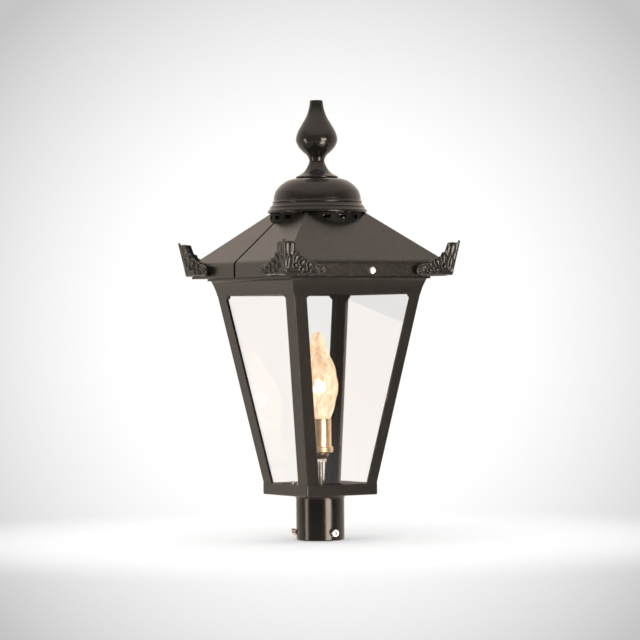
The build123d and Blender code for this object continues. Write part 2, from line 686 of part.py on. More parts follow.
def crest_outline():
    """Closed outline of one leaf in its leaning plane, from the corner edge to its end scroll."""
    def at(share, height):
        """Point at a share of the leaf's length and of its tip's height."""
        rise = height * CREST_TIP
        return share * CREST_LENGTH - CREST_LEAN * rise, rise * math.sqrt(1 + CREST_LEAN ** 2)

    lobes = [
        (at(0.95, 0.0), at(1.01, 0.17), at(0.92, 0.32)),
        (at(0.92, 0.32), at(0.83, 0.41), at(0.73, 0.32)),
        (at(0.73, 0.32), at(0.63, 0.46), at(0.51, 0.38)),
        (at(0.51, 0.38), at(0.47, 0.49), at(0.40, 0.50)),
        (at(0.40, 0.50), at(0.36, 0.64), at(0.26, 0.64)),
        (at(0.26, 0.64), at(0.24, 0.83), at(0.19, 0.92)),
    ]
    outline = Curve() + [ThreePointArc(*lobe) for lobe in lobes]
    return outline + Polyline(at(0.19, 0.92), at(0.12, 0.92), at(0.07, 0.85), at(0.0, 1.0),
                              at(0.0, 0.0), at(0.95, 0.0))


def corner_crest(quarter):
    """Cast ornament on a roof corner: two leaning leaves mitred on the corner, with pads behind."""
    foot = ROOF_Z + CREST_LIFT
    leaning = Plane(origin=(CREST_HALF, CREST_HALF, foot), x_dir=(-1, 0, 0),
                    z_dir=(0, 1, -CREST_LEAN))
    leaf = leaning * extrude(make_face(crest_outline().edges()), -CREST_THICKNESS)
    reach = 2 * CREST_HALF
    half_space = extrude(
        make_face(Polyline((0, 0), (reach, reach), (0, reach), close=True).edges()), 2 * EAVE_Z)
    pad_front = CREST_HALF - CREST_THICKNESS / 4
    pad_x = CREST_HALF - CREST_SCREW_AT
    leaf += box(pad_x - CREST_PAD / 2, pad_x + CREST_PAD / 2, EAVE_HALF, pad_front, foot,
                foot + CREST_PAD)
    leaf += box(EAVE_HALF - CREST_PAD, pad_front, EAVE_HALF, pad_front, foot, foot + CREST_PAD)
    crest = leaf & half_space
    crest += mirror(crest, Plane(origin=(0, 0, 0), z_dir=(1, -1, 0)))
    crest = Rot(0, 0, 90 * quarter) * crest
    for place in crest_screw_places():
        crest -= place * Pos(0, 0, CREST_SCREW_GRIP / 2) * Cylinder(
            SMALL_SCREW_RADIUS + FIT, CREST_SCREW_GRIP + FIT)
    return crest


def crest_screws():
    """Eight screws driven from inside the fascia into the crests' pads."""
    head = Pos(0, 0, -SHEET - SMALL_HEAD_HEIGHT / 2) * Cylinder(SMALL_HEAD_RADIUS, SMALL_HEAD_HEIGHT)
    length = SHEET + CREST_SCREW_GRIP - FIT
    shank = Pos(0, 0, CREST_SCREW_GRIP - FIT - length / 2) * Cylinder(SMALL_SCREW_RADIUS, length)
    return group([place * (head + shank) for place in crest_screw_places()])


# ------------------------------------------------------------------ roof hinge and catch

def hinge_xs():
    """Middle of each of the two hinges."""
    return (-HINGE_AT_X, HINGE_AT_X)


def hinge_rod(radius, x0, x1):
    """Cylinder along the hinge axis."""
    return Pos((x0 + x1) / 2, HINGE_Y, HINGE_Z) * Rot(0, 90, 0) * Cylinder(radius, x1 - x0)


def hinge_screw_places():
    """Middles, in X and Y, of the screws that hold the brackets under the frame's bead."""
    offset = HINGE_WIDTH / 2 - SMALL_HEAD_RADIUS - 1
    y = CORNICE_HALF + FRAME_BEAD_OUT / 2
    return [(x + end * offset, y) for x in hinge_xs() for end in (-1, 1)]


def hinge_brackets():
    """Straps under the frame's bead that reach out below the fascia and carry two knuckles each."""
    brackets = []
    low = CORNICE_TOP - STRAP_THICKNESS
    inner = KNUCKLE_MIDDLE / 2 + KNUCKLE_GAP
    outer = HINGE_WIDTH / 2
    for x in hinge_xs():
        bracket = box(x - outer, x + outer, CORNICE_HALF + SOFFIT_SIDE_GAP, HINGE_Y + KNUCKLE_RADIUS,
                      low, CORNICE_TOP)
        for x0, x1 in ((x - outer, x - inner), (x + inner, x + outer)):
            bracket += hinge_rod(KNUCKLE_RADIUS, x0, x1)
            bracket += box(x0, x1, HINGE_Y - KNUCKLE_RADIUS / 2, HINGE_Y + KNUCKLE_RADIUS, low, HINGE_Z)
        bracket -= hinge_rod(HINGE_PIN_RADIUS + FIT, x - outer - 1, x + outer + 1)
        brackets.append(bracket)
    for x, y in hinge_screw_places():
        brackets = [b - rod(HINGE_SCREW_RADIUS + FIT, low - 1, CORNICE_TOP + 1, x, y)
                    for b in brackets]
    return group(brackets)


def hinge_screws():
    """Four screws from below through the brackets into the frame's bead."""
    low = CORNICE_TOP - STRAP_THICKNESS
    top = FRAME_BEAD_TOP - 1
    return group([
        rod(HINGE_SCREW_RADIUS, low, top, x, y)
        + rod(HINGE_SCREW_HEAD, low - SMALL_HEAD_HEIGHT / 2, low, x, y)
        for x, y in hinge_screw_places()
    ])


def hinge_leaves():
    """Leaves riveted to the rear fascia, each with a middle knuckle."""
    leaves = []
    middle = KNUCKLE_MIDDLE / 2
    outer = HINGE_WIDTH / 2
    face = EAVE_HALF + LEAF_THICKNESS
    for x in hinge_xs():
        leaf = box(x - outer, x + outer, EAVE_HALF, face, HINGE_Z + LEAF_CLEAR, HINGE_Z + LEAF_HEIGHT)
        leaf += box(x - middle, x + middle, EAVE_HALF, face, ROOF_Z, HINGE_Z + LEAF_HEIGHT)
        leaf += box(x - middle, x + middle, EAVE_HALF, HINGE_Y, ROOF_Z, HINGE_Z + HINGE_AXIS_RISE)
        leaf += hinge_rod(KNUCKLE_RADIUS, x - middle, x + middle)
        leaf -= hinge_rod(HINGE_PIN_RADIUS + FIT, x - outer, x + outer)
        leaves.append(leaf)
    for place in leaf_rivet_places():
        leaves = [leaf - place * Cylinder(SMALL_SCREW_RADIUS + FIT, 4 * LEAF_THICKNESS)
                  for leaf in leaves]
    return group(leaves)


def leaf_rivets():
    """Four rivets that hold the hinge leaves to the fascia."""
    shank = Pos(0, 0, (LEAF_THICKNESS - SHEET) / 2) * Cylinder(
        SMALL_SCREW_RADIUS, LEAF_THICKNESS + SHEET)
    dome = SMALL_HEAD_HEIGHT / 2
    outside = Pos(0, 0, LEAF_THICKNESS + dome / 2) * Cone(SMALL_HEAD_RADIUS, SMALL_SCREW_RADIUS, dome)
    inside = Pos(0, 0, -SHEET - dome / 2) * Cone(SMALL_SCREW_RADIUS, SMALL_HEAD_RADIUS, dome)
    return group([place * (shank + outside + inside) for place in leaf_rivet_places()])


def hinge_pins():
    """Two headed pins on the hinge axis."""
    pins = []
    for x in hinge_xs():
        end = HINGE_WIDTH / 2
        pin = hinge_rod(HINGE_PIN_RADIUS, x - end - 1, x + end)
        pins.append(pin + hinge_rod(KNUCKLE_RADIUS - 1, x + end, x + end + LEAF_THICKNESS))
    return group(pins)


def catch_screw():
    """Round-headed screw through the front fascia, whose tip stops just short of the curb."""
    tip = CURB_HALF + CATCH_TIP_GAP
    seat = EAVE_HALF + SOFFIT_SIDE_GAP
    shank = Pos(0, 0, (tip + seat) / 2) * Cylinder(CATCH_RADIUS, seat - tip)
    head = Pos(0, 0, seat + CATCH_HEAD_HEIGHT / 2) * Cylinder(CATCH_HEAD_RADIUS, CATCH_HEAD_HEIGHT)
    head = fillet(head.edges().sort_by(Axis.Z)[-1], 0.75 * CATCH_HEAD_HEIGHT)
    return catch_axis(0) * (shank + head)


def catch_nut():
    """Threaded bush behind the front fascia that carries the catch screw."""
    middle = EAVE_HALF - SHEET - CATCH_NUT_LENGTH / 2
    bush = Cylinder(CATCH_NUT_RADIUS, CATCH_NUT_LENGTH)
    return catch_axis(middle) * (bush - Cylinder(CATCH_RADIUS + FIT, CATCH_NUT_LENGTH + 1))


# ------------------------------------------------------------------ ventilator, dome and finial

def vent_collar():
    """Ring scribed to the roof slopes, with vent slots, an inner skirt and a top flange."""
    skirt_foot = ROOF_APEX - ROOF_SLOPE * ROOF_HOLE - SKIRT_DROP
    flange_foot = COLLAR_TOP - COLLAR_FLANGE
    blank = turned(Polyline(
        (SKIRT_BORE, skirt_foot),
        (COLLAR_RADIUS, skirt_foot),
        (COLLAR_RADIUS, COLLAR_TOP),
        (COLLAR_OPENING, COLLAR_TOP),
        (COLLAR_OPENING, flange_foot),
        (SKIRT_BORE, flange_foot),
        close=True,
    ))
    collar = blank - (roof_solid(0) - rod(SKIRT_RADIUS, ROOF_Z - 1, ROOF_APEX + 1))
    slot_top = flange_foot - 1
    for side in range(4):
        for angle in VENT_SLOT_ANGLES:
            slot = box(SKIRT_BORE - 5, COLLAR_RADIUS + 5, -VENT_SLOT_WIDTH / 2, VENT_SLOT_WIDTH / 2,
                       slot_top - VENT_SLOT_HEIGHT, slot_top)
            collar -= Rot(0, 0, 90 * side + angle) * slot
    for x, y in bridge_screw_places():
        collar -= rod(SMALL_SCREW_RADIUS + FIT, flange_foot - 1, COLLAR_TOP + 1, x, y)
    return collar


def bridge_screw_places():
    """Screws near the ends of the bridge's four arms."""
    return [(BRIDGE_SCREW_AT, 0), (-BRIDGE_SCREW_AT, 0), (0, BRIDGE_SCREW_AT), (0, -BRIDGE_SCREW_AT)]


def dome_bridge():
    """Cross-shaped strap over the collar's opening, with a hole for the tie stud."""
    bridge = box(-BRIDGE_HALF, BRIDGE_HALF, -BRIDGE_WIDTH / 2, BRIDGE_WIDTH / 2, COLLAR_TOP, BRIDGE_TOP)
    bridge += Rot(0, 0, 90) * bridge
    bridge -= rod(STUD_RADIUS + FIT, COLLAR_TOP - 1, BRIDGE_TOP + 1)
    for x, y in bridge_screw_places():
        bridge -= rod(SMALL_SCREW_RADIUS + FIT, COLLAR_TOP - 1, BRIDGE_TOP + 1, x, y)
    return bridge


def bridge_screws():
    """Four screws from the bridge into the collar's flange."""
    foot = COLLAR_TOP - COLLAR_FLANGE
    return group([
        rod(SMALL_SCREW_RADIUS, foot, BRIDGE_TOP, x, y)
        + rod(SMALL_HEAD_RADIUS, BRIDGE_TOP, BRIDGE_TOP + SMALL_HEAD_HEIGHT, x, y)
        for x, y in bridge_screw_places()
    ])


def dome_curve(inset):
    """Edges of the dome's surface moved in by an inset: rim band, flare, bead and crown."""
    rim = DOME_RIM_RADIUS - inset
    neck = DOME_NECK_RADIUS - inset
    crown = CROWN_Z - inset
    flare = DOME_Z + DOME_NECK_RISE - inset / 2
    band = DOME_Z + DOME_RIM_BAND
    bead = flare - DOME_BEAD_HEIGHT
    third = (crown - flare) / 3
    swell = (neck - DOME_CROWN_RADIUS) / 3
    return (
        Line((rim, DOME_Z), (rim, band))
        + ThreePointArc((rim, band), (neck + 0.4 * (rim - neck), (band + bead) / 2), (neck, bead))
        + ThreePointArc((neck, bead), (neck + DOME_BEAD_OUT, (bead + flare) / 2), (neck, flare))
        + Spline((neck, flare), (neck - 0.45 * swell, flare + 1.35 * third),
                 (neck - 1.35 * swell, flare + 2.3 * third), (DOME_CROWN_RADIUS, crown),
                 tangents=((0, 1), (-1, 0.06)))
        + Line((DOME_CROWN_RADIUS, crown), (0, crown))
    )


def dome_cap():
    """Spun dome with a flared rim, open below, with a hole for the tie stud."""
    outer = dome_curve(0) + Line((0, CROWN_Z), (0, DOME_Z)) + Line((0, DOME_Z), (DOME_RIM_RADIUS, DOME_Z))
    inner_rim = DOME_RIM_RADIUS - DOME_WALL
    top = CROWN_Z - DOME_WALL
    inner = dome_curve(DOME_WALL) + Line((0, top), (0, DOME_Z)) + Line((0, DOME_Z), (inner_rim, DOME_Z))
    dome = turned(outer) - turned(inner)
    return dome - rod(STUD_RADIUS + FIT, DOME_Z, CROWN_Z + 1)


def finial_stud():
    """Tie stud from below the bridge up into the finial."""
    foot = COLLAR_TOP - STUD_NUT_HEIGHT - STUD_TAIL
    return rod(STUD_RADIUS, foot, CROWN_Z + STUD_IN_FINIAL)


def finial():
    """Turned finial: foot disc, hollow neck, pear-shaped belly and a slim flat-topped tip."""
    z = CROWN_Z
    edge = z + FINIAL_FOOT_EDGE
    neck = (FINIAL_NECK_RADIUS, z + FINIAL_NECK_RISE)
    belly = (FINIAL_BELLY_RADIUS, z + FINIAL_BELLY_RISE)
    top = z + FINIAL_HEIGHT
    sweep = FINIAL_FOOT_RADIUS - FINIAL_NECK_RADIUS
    swell = FINIAL_BELLY_RADIUS - FINIAL_NECK_RADIUS
    slim = FINIAL_BELLY_RADIUS - FINIAL_TOP_RADIUS
    waist = FINIAL_NECK_RISE - FINIAL_FOOT_EDGE
    rise = FINIAL_BELLY_RISE - FINIAL_NECK_RISE
    taper = FINIAL_HEIGHT - FINIAL_BELLY_RISE
    outline = (
        Polyline((0, z), (FINIAL_FOOT_RADIUS, z), (FINIAL_FOOT_RADIUS, edge))
        + Spline((FINIAL_FOOT_RADIUS, edge), (FINIAL_NECK_RADIUS + 0.33 * sweep, edge + 0.38 * waist), neck,
                 tangents=((-1, 0.35), (0, 1)))
        + Spline(neck, (FINIAL_NECK_RADIUS + 0.45 * swell, neck[1] + 0.42 * rise), belly,
                 tangents=((0, 1), (0, 1)))
        + Spline(belly, (FINIAL_BELLY_RADIUS - 0.36 * slim, belly[1] + 0.36 * taper),
                 (FINIAL_BELLY_RADIUS - 0.78 * slim, belly[1] + 0.66 * taper),
                 (FINIAL_TOP_RADIUS, top - 1), tangents=((0, 1), (-0.12, 1)))
        + Polyline((FINIAL_TOP_RADIUS, top - 1), (FINIAL_TOP_RADIUS - 1, top), (0, top), (0, z))
    )
    return turned(outline) - rod(STUD_RADIUS + FIT, z - 1, z + STUD_IN_FINIAL + 1)


# ------------------------------------------------------------------ lampholder and lamp

def stem_nuts():
    """Nuts below and above the base plate and under the lampholder."""
    levels = (FLANGE_TOP - STEM_NUT_HEIGHT, PLATE_TOP, HOLDER_Z - STEM_NUT_HEIGHT)
    return group([hex_nut(STEM_NUT_FLATS, STEM_RADIUS + FIT, z, STEM_NUT_HEIGHT) for z in levels])


def holder_base():
    """Domed base of the lampholder, bored for the stem."""
    z = HOLDER_Z
    top = RING_Z
    foot = 0.6 * HOLDER_BASE_RADIUS
    bore = STEM_RADIUS + FIT
    mid = (foot + 0.72 * (HOLDER_BASE_RADIUS - foot), z + 0.4 * HOLDER_BASE_HEIGHT)
    wall = HOLDER_BASE_RADIUS - SLEEVE_WALL
    outline = (
        Line((bore, z), (foot, z))
        + ThreePointArc((foot, z), mid, (HOLDER_BASE_RADIUS, top))
        + Polyline((HOLDER_BASE_RADIUS, top), (wall, top), (foot, z + STEM_TAIL), (bore, z + STEM_TAIL),
                   (bore, z))
    )
    return turned(outline)


def shade_ring():
    """Clamping ring between the lampholder's base and its sleeve."""
    z = RING_Z
    edge = 0.2 * SHADE_RING_HEIGHT
    inner = HOLDER_BASE_RADIUS - SLEEVE_WALL
    outline = Polyline(
        (inner, z),
        (SHADE_RING_RADIUS - edge, z),
        (SHADE_RING_RADIUS, z + edge),
        (SHADE_RING_RADIUS, SLEEVE_Z - edge),
        (SHADE_RING_RADIUS - edge, SLEEVE_Z),
        (inner, SLEEVE_Z),
        close=True,
    )
    return turned(outline)


def holder_insert():
    """Insulating insert that takes the lamp's cap."""
    outer = SLEEVE_RADIUS - SLEEVE_WALL - FIT
    insert = tube(outer, INSERT_BORE, SLEEVE_Z + INSERT_FLOOR, SLEEVE_Z + INSERT_HEIGHT)
    return insert + tube(outer, STEM_BORE, SLEEVE_Z, SLEEVE_Z + INSERT_FLOOR)


def holder_contact():
    """Centre contact on the insert's floor, just under the lamp's cap."""
    z = SLEEVE_Z + INSERT_FLOOR
    return tube(LAMP_BUTTON_RADIUS + 1, STEM_BORE / 2, z, LAMP_Z - LAMP_CAP_GAP / 6)


def lamp_cap():
    """Lamp cap with its screw shell, insulating cone and centre button."""
    z = LAMP_Z
    outline = Polyline(
        (0, z),
        (LAMP_BUTTON_RADIUS, z),
        (LAMP_BUTTON_RADIUS + 1, z + LAMP_CAP_GAP),
        (LAMP_CAP_RADIUS, z + 0.25 * LAMP_CAP_LENGTH),
        (LAMP_CAP_RADIUS, ENVELOPE_Z),
        (0, ENVELOPE_Z),
        close=True,
    )
    return turned(outline)


def envelope_curve(inset):
    """Flame-shaped outline of the lamp's glass from its neck to its tip."""
    z = ENVELOPE_Z
    h = ENVELOPE_HEIGHT
    b = ENVELOPE_BELLY
    return Spline(
        (ENVELOPE_NECK - inset, z),
        (0.60 * b - inset, z + 0.12 * h),
        (0.84 * b - inset, z + 0.23 * h),
        (b - inset, z + 0.43 * h),
        (0.88 * b - inset, z + 0.62 * h),
        (0.52 * b - inset, z + 0.78 * h),
        (0.32 * b - inset, z + 0.92 * h),
        (0, z + h - inset),
        tangents=((0, 1), (-1, 0)),
    )


def lamp_envelope():
    """Hollow flame-shaped glass."""
    neck = ENVELOPE_NECK
    wall = ENVELOPE_WALL
    outline = (
        envelope_curve(0)
        + envelope_curve(wall)
        + Line((neck, ENVELOPE_Z), (neck - wall, ENVELOPE_Z))
        + Line((0, ENVELOPE_Z + ENVELOPE_HEIGHT), (0, ENVELOPE_Z + ENVELOPE_HEIGHT - wall))
    )
    return turned(outline)


def lamp_mount():
    """Glass mount that rises from the cap inside the envelope."""
    z = ENVELOPE_Z
    flare = ENVELOPE_NECK - ENVELOPE_WALL - MOUNT_GAP
    slim = 0.35 * flare
    return turned(Polyline((0, z), (flare, z), (flare, z + 1), (slim, z + 0.25 * MOUNT_HEIGHT),
                           (slim, z + MOUNT_HEIGHT), (0, z + MOUNT_HEIGHT), close=True))


def lamp_filament():
    """Hoop of filament on two lead wires above the mount."""
    z0 = ENVELOPE_Z + MOUNT_HEIGHT
    z1 = ENVELOPE_Z + 0.43 * ENVELOPE_HEIGHT
    hoop = Pos(0, 0, z1) * Rot(90, 0, 0) * Torus(FILAMENT_SPREAD, FILAMENT_RADIUS)
    hoop &= box(-2 * FILAMENT_SPREAD, 2 * FILAMENT_SPREAD, -FILAMENT_SPREAD, FILAMENT_SPREAD,
                z1, z1 + 2 * FILAMENT_SPREAD)
    for x in (-FILAMENT_SPREAD, FILAMENT_SPREAD):
        hoop += rod(FILAMENT_RADIUS, z0, z1, x, 0)
    return hoop


# ------------------------------------------------------------------ electrical pieces

def cable_grommet():
    """Rubber grommet in the base plate for the supply cable."""
    low = FLANGE_TOP
    grommet = rod(GROMMET_NECK, low, PLATE_TOP, GROMMET_AT, 0)
    for z in (low - GROMMET_FLANGE_THICKNESS, PLATE_TOP):
        grommet += rod(GROMMET_FLANGE, z, z + GROMMET_FLANGE_THICKNESS, GROMMET_AT, 0)
    return grommet - rod(GROMMET_BORE, low - 5, PLATE_TOP + 5, GROMMET_AT, 0)


def block_ways():
    """Middles, in X, of the terminal block's ways."""
    pitch = BLOCK_LENGTH / BLOCK_WAYS
    return [(way - (BLOCK_WAYS - 1) / 2) * pitch for way in range(BLOCK_WAYS)]


def terminal_block():
    """Terminal block on the base plate, with a wire way and a screw hole for each pole."""
    y = BLOCK_AT_Y
    top = PLATE_TOP + BLOCK_HEIGHT
    block = box(-BLOCK_LENGTH / 2, BLOCK_LENGTH / 2, y - BLOCK_DEPTH / 2, y + BLOCK_DEPTH / 2,
                PLATE_TOP, top)
    block = chamfer(block.edges().filter_by(Axis.X).group_by(Axis.Z)[-1], 2)
    for x in block_ways():
        way = Pos(x, y, PLATE_TOP + BLOCK_HEIGHT / 2) * Rot(90, 0, 0) * Cylinder(
            SMALL_SCREW_RADIUS, BLOCK_DEPTH + 1)
        block -= way
        block -= rod(SMALL_SCREW_RADIUS + FIT, PLATE_TOP + BLOCK_HEIGHT / 2, top + 1, x, y)
    return block


def terminal_screws():
    """One clamping screw for each way of the terminal block."""
    top = PLATE_TOP + BLOCK_HEIGHT - 1
    return group([rod(SMALL_SCREW_RADIUS, PLATE_TOP + BLOCK_HEIGHT / 2, top, x, BLOCK_AT_Y)
                  for x in block_ways()])


def earth_stud():
    """Earth stud on the base plate with its washer and nut."""
    x, y = EARTH_AT
    washer = PLATE_TOP + 1
    hole = EARTH_RADIUS + FIT
    return group([
        rod(EARTH_RADIUS, PLATE_TOP, PLATE_TOP + EARTH_HEIGHT, x, y),
        tube(2 * EARTH_RADIUS, hole, PLATE_TOP, washer, x, y),
        hex_nut(EARTH_FLATS, hole, washer, EARTH_RADIUS * 1.6, x, y),
    ])


# ------------------------------------------------------------------ build

os.makedirs("parts", exist_ok=True)

save("post_socket", post_socket())
save("socket_flange", socket_flange())
save("socket_screws", group([
    countersunk(SOCKET_SCREW_RADIUS, SOCKET_SCREW_HEAD, FRAME_Z, PLATE_TOP + SOCKET_NUT_HEIGHT + 1, x, y)
    for x, y in socket_screw_places()
]))
save("socket_nuts", group([
    hex_nut(SOCKET_NUT_FLATS, SOCKET_SCREW_RADIUS + FIT, PLATE_TOP, SOCKET_NUT_HEIGHT, x, y)
    for x, y in socket_screw_places()
]))
for number, angle in enumerate(SET_BOLT_ANGLES, start=1):
    save(f"set_bolt_{number}", set_bolt(angle))
save("base_plate", base_plate())
save("base_screws", group([
    countersunk(SMALL_SCREW_RADIUS, SMALL_HEAD_RADIUS, FRAME_Z, PLATE_TOP, x, y)
    for x, y in base_screw_places()
]))
save("bottom_frame", bottom_frame())
save("top_frame", top_frame())
save("frame_screws", frame_screws())
for index, corner in enumerate(CORNERS):
    save(f"corner_post_{corner}", corner_post(index))
for quarter, side in enumerate(("front", "right", "rear", "left")):
    save(f"glass_pane_{side}", glass_pane(90 * quarter))
save("glazing_beads", glazing_beads())

save("lamp_stem", tube(STEM_RADIUS, STEM_BORE, FLANGE_TOP - STEM_NUT_HEIGHT - 1, HOLDER_Z + STEM_TAIL))
save("stem_nuts", stem_nuts())
save("holder_base", holder_base())
save("shade_ring", shade_ring())
save("holder_sleeve", tube(SLEEVE_RADIUS, SLEEVE_RADIUS - SLEEVE_WALL, SLEEVE_Z, SLEEVE_TOP))
save("holder_insert", holder_insert())
save("holder_contact", holder_contact())
save("lamp_cap", lamp_cap())
save("lamp_envelope", lamp_envelope())
save("lamp_mount", lamp_mount())
save("lamp_filament", lamp_filament())
save("cable_grommet", cable_grommet())
save("terminal_block", terminal_block())
save("terminal_screws", terminal_screws())
save("earth_stud", earth_stud())

save("roof_shell", roof_shell())
save("roof_soffit", roof_soffit())
save("roof_seam_strip", roof_seam_strip())
for quarter, corner in enumerate(("rear", "left", "front", "right")):
    save(f"corner_crest_{corner}", corner_crest(quarter))
save("crest_screws", crest_screws())
save("hinge_brackets", hinge_brackets())
save("hinge_screws", hinge_screws())
save("hinge_leaves", hinge_leaves())
save("leaf_rivets", leaf_rivets())
save("hinge_pins", hinge_pins())
save("catch_screw", catch_screw())
save("catch_nut", catch_nut())
save("vent_collar", vent_collar())
save("dome_bridge", dome_bridge())
save("bridge_screws", bridge_screws())
save("dome_spacer", tube(SPACER_RADIUS, STUD_RADIUS + FIT, BRIDGE_TOP, CROWN_Z - DOME_WALL))
save("dome_cap", dome_cap())
save("finial_stud", finial_stud())
save("stud_nut", hex_nut(STUD_NUT_FLATS, STUD_RADIUS + FIT, COLLAR_TOP - STUD_NUT_HEIGHT, STUD_NUT_HEIGHT))
save("finial", finial())
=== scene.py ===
"""Looks of the post top lantern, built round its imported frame.

Sizes in the classes are millimetres from the socket's open foot, as in the part's source.
A piece's bmesh is made in millimetres and scaled to metres when it is placed.
"""

import json
import logging
import math
from collections.abc import Callable
from dataclasses import dataclass
from enum import Enum

import bmesh
import bpy
from mathutils import Matrix, Vector
from mathutils.geometry import interpolate_bezier


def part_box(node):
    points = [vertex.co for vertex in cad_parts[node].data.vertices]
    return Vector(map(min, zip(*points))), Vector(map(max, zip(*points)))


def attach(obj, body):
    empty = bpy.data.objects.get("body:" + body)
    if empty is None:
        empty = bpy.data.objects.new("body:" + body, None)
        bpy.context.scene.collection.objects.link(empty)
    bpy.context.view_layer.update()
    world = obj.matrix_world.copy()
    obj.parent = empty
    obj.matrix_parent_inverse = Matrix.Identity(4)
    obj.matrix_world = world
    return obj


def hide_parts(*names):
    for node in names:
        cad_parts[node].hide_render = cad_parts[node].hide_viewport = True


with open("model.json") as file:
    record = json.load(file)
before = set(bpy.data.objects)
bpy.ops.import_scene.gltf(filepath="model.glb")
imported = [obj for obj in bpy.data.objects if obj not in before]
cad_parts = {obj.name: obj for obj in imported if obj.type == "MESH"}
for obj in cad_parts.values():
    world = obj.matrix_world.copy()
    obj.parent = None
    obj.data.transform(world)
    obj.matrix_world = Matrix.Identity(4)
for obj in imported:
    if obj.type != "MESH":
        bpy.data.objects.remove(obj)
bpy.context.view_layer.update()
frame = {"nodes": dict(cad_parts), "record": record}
MM = 0.001
LOG = logging.getLogger("post_top_lantern")
Point = tuple[float, float]
Place = tuple[float, float, float]
Colour = tuple[float, float, float]


def lowest(node: str) -> Vector:
    """A CAD node's lowest corner at rest, in millimetres."""
    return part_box(node)[0] / MM


def highest(node: str) -> Vector:
    """A CAD node's highest corner at rest, in millimetres."""
    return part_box(node)[1] / MM


class Slot(Enum):
    """The record's material slots."""

    POWDER_COAT = "powder_coat"
    CAST_COAT = "cast_coat"
    BRIGHT_STEEL = "bright_steel"
    ZINC_STEEL = "zinc_steel"
    BRASS = "brass"
    PANE_GLASS = "pane_glass"
    LAMP_GLASS = "lamp_glass"
    LAMP_METAL = "lamp_metal"
    INSULATOR = "insulator"
    GROMMET_RUBBER = "grommet_rubber"
    TERMINAL_PLASTIC = "terminal_plastic"


class Side(Enum):
    """Quarter turns of a piece that is repeated round the lantern."""

    REAR = 0
    LEFT = 1
    FRONT = 2
    RIGHT = 3


# ---------------------------------------------------------------- node wiring


class Wiring:
    """Places and joins shader nodes in one tree."""

    def __init__(self, tree: bpy.types.NodeTree) -> None:
        """Takes the tree that is wired."""
        self.tree = tree

    def add(self, kind: str, label: str = "", **settings: object) -> bpy.types.Node:
        """Adds a node.

        Args:
            kind: The node's type name without its ShaderNode prefix.
            label: A label that says what the node is for.
            settings: Properties of the node, by name.

        Returns:
            The new node.
        """
        node = self.tree.nodes.new("ShaderNode" + kind)
        node.label = label
        for name, value in settings.items():
            setattr(node, name, value)
        return node

    def feed(self, socket: bpy.types.NodeSocket, source: object) -> None:
        """Joins a socket to another one, or sets it to a constant.

        Args:
            socket: The input.
            source: An output socket, a number or a tuple.
        """
        if isinstance(source, bpy.types.NodeSocket):
            self.tree.links.new(source, socket)
        else:
            socket.default_value = source

    def math(self, operation: str, *values: object, clamp: bool = False) -> bpy.types.NodeSocket:
        """Adds a Math node.

        Args:
            operation: The node's operation.
            values: Its inputs, each a socket or a number.
            clamp: Whether the result is kept between 0 and 1.

        Returns:
            The result's socket.
        """
        node = self.add("Math", operation=operation, use_clamp=clamp)
        for socket, value in zip(node.inputs, values):
            self.feed(socket, value)
        return node.outputs[0]

    def ramp(self, value: object, low: object, high: object, start: object = 0.0,
             end: object = 1.0) -> bpy.types.NodeSocket:
        """Adds a smooth Map Range node.

        Args:
            value: What is mapped.
            low: The value that gives start.
            high: The value that gives end.
            start: The result at low.
            end: The result at high.

        Returns:
            The result's socket.
        """
        node = self.add("MapRange", interpolation_type="SMOOTHSTEP")
        for socket, source in zip(node.inputs, (value, low, high, start, end)):
            self.feed(socket, source)
        return node.outputs[0]

    def dot(self, vector: bpy.types.NodeSocket, axis: Vector) -> bpy.types.NodeSocket:
        """Adds a dot product with a fixed axis.

        Args:
            vector: The vector's socket.
            axis: The fixed axis.

        Returns:
            The product's socket.
        """
        node = self.add("VectorMath", operation="DOT_PRODUCT")
        self.feed(node.inputs[0], vector)
        node.inputs[1].default_value = axis
        return node.outputs["Value"]

    def blend(self, factor: object, first: object, second: object,
              mode: str = "MIX") -> bpy.types.NodeSocket:
        """Adds a colour Mix node.

        Args:
            factor: The share of the second colour.
            first: The first colour.
            second: The second colour.
            mode: The node's blend type.

        Returns:
            The result's socket.
        """
        node = self.add("Mix", data_type="RGBA", blend_type=mode)
        for name, source in (("Factor", factor), ("A", first), ("B", second)):
            sockets = [s for s in node.inputs if s.name == name and s.enabled]
            self.feed(sockets[0], source if not isinstance(source, tuple) else (*source, 1.0)[:4])
        return [s for s in node.outputs if s.enabled][0]

    def noise(self, vector: bpy.types.NodeSocket, scale: object, detail: float = 2.0,
              distortion: float = 0.0) -> bpy.types.NodeSocket:
        """Adds a Noise Texture.

        Args:
            vector: Its coordinates.
            scale: Its scale, per metre.
            detail: Its number of octaves.
            distortion: How far it is warped.

        Returns:
            The noise's value socket.
        """
        node = self.add("TexNoise")
        self.feed(node.inputs["Vector"], vector)
        self.feed(node.inputs["Scale"], scale)
        node.inputs["Detail"].default_value = detail
        node.inputs["Distortion"].default_value = distortion
        return node.outputs["Fac"]

    def place(self) -> bpy.types.NodeSocket:
        """The object coordinates' socket."""
        return self.add("TexCoord").outputs["Object"]

    def stretched(self, scale: Place) -> bpy.types.NodeSocket:
        """Stretches the object coordinates.

        Args:
            scale: The stretch along each axis.

        Returns:
            The stretched coordinates' socket.
        """
        node = self.add("Mapping")
        self.feed(node.inputs["Vector"], self.place())
        node.inputs["Scale"].default_value = scale
        return node.outputs[0]


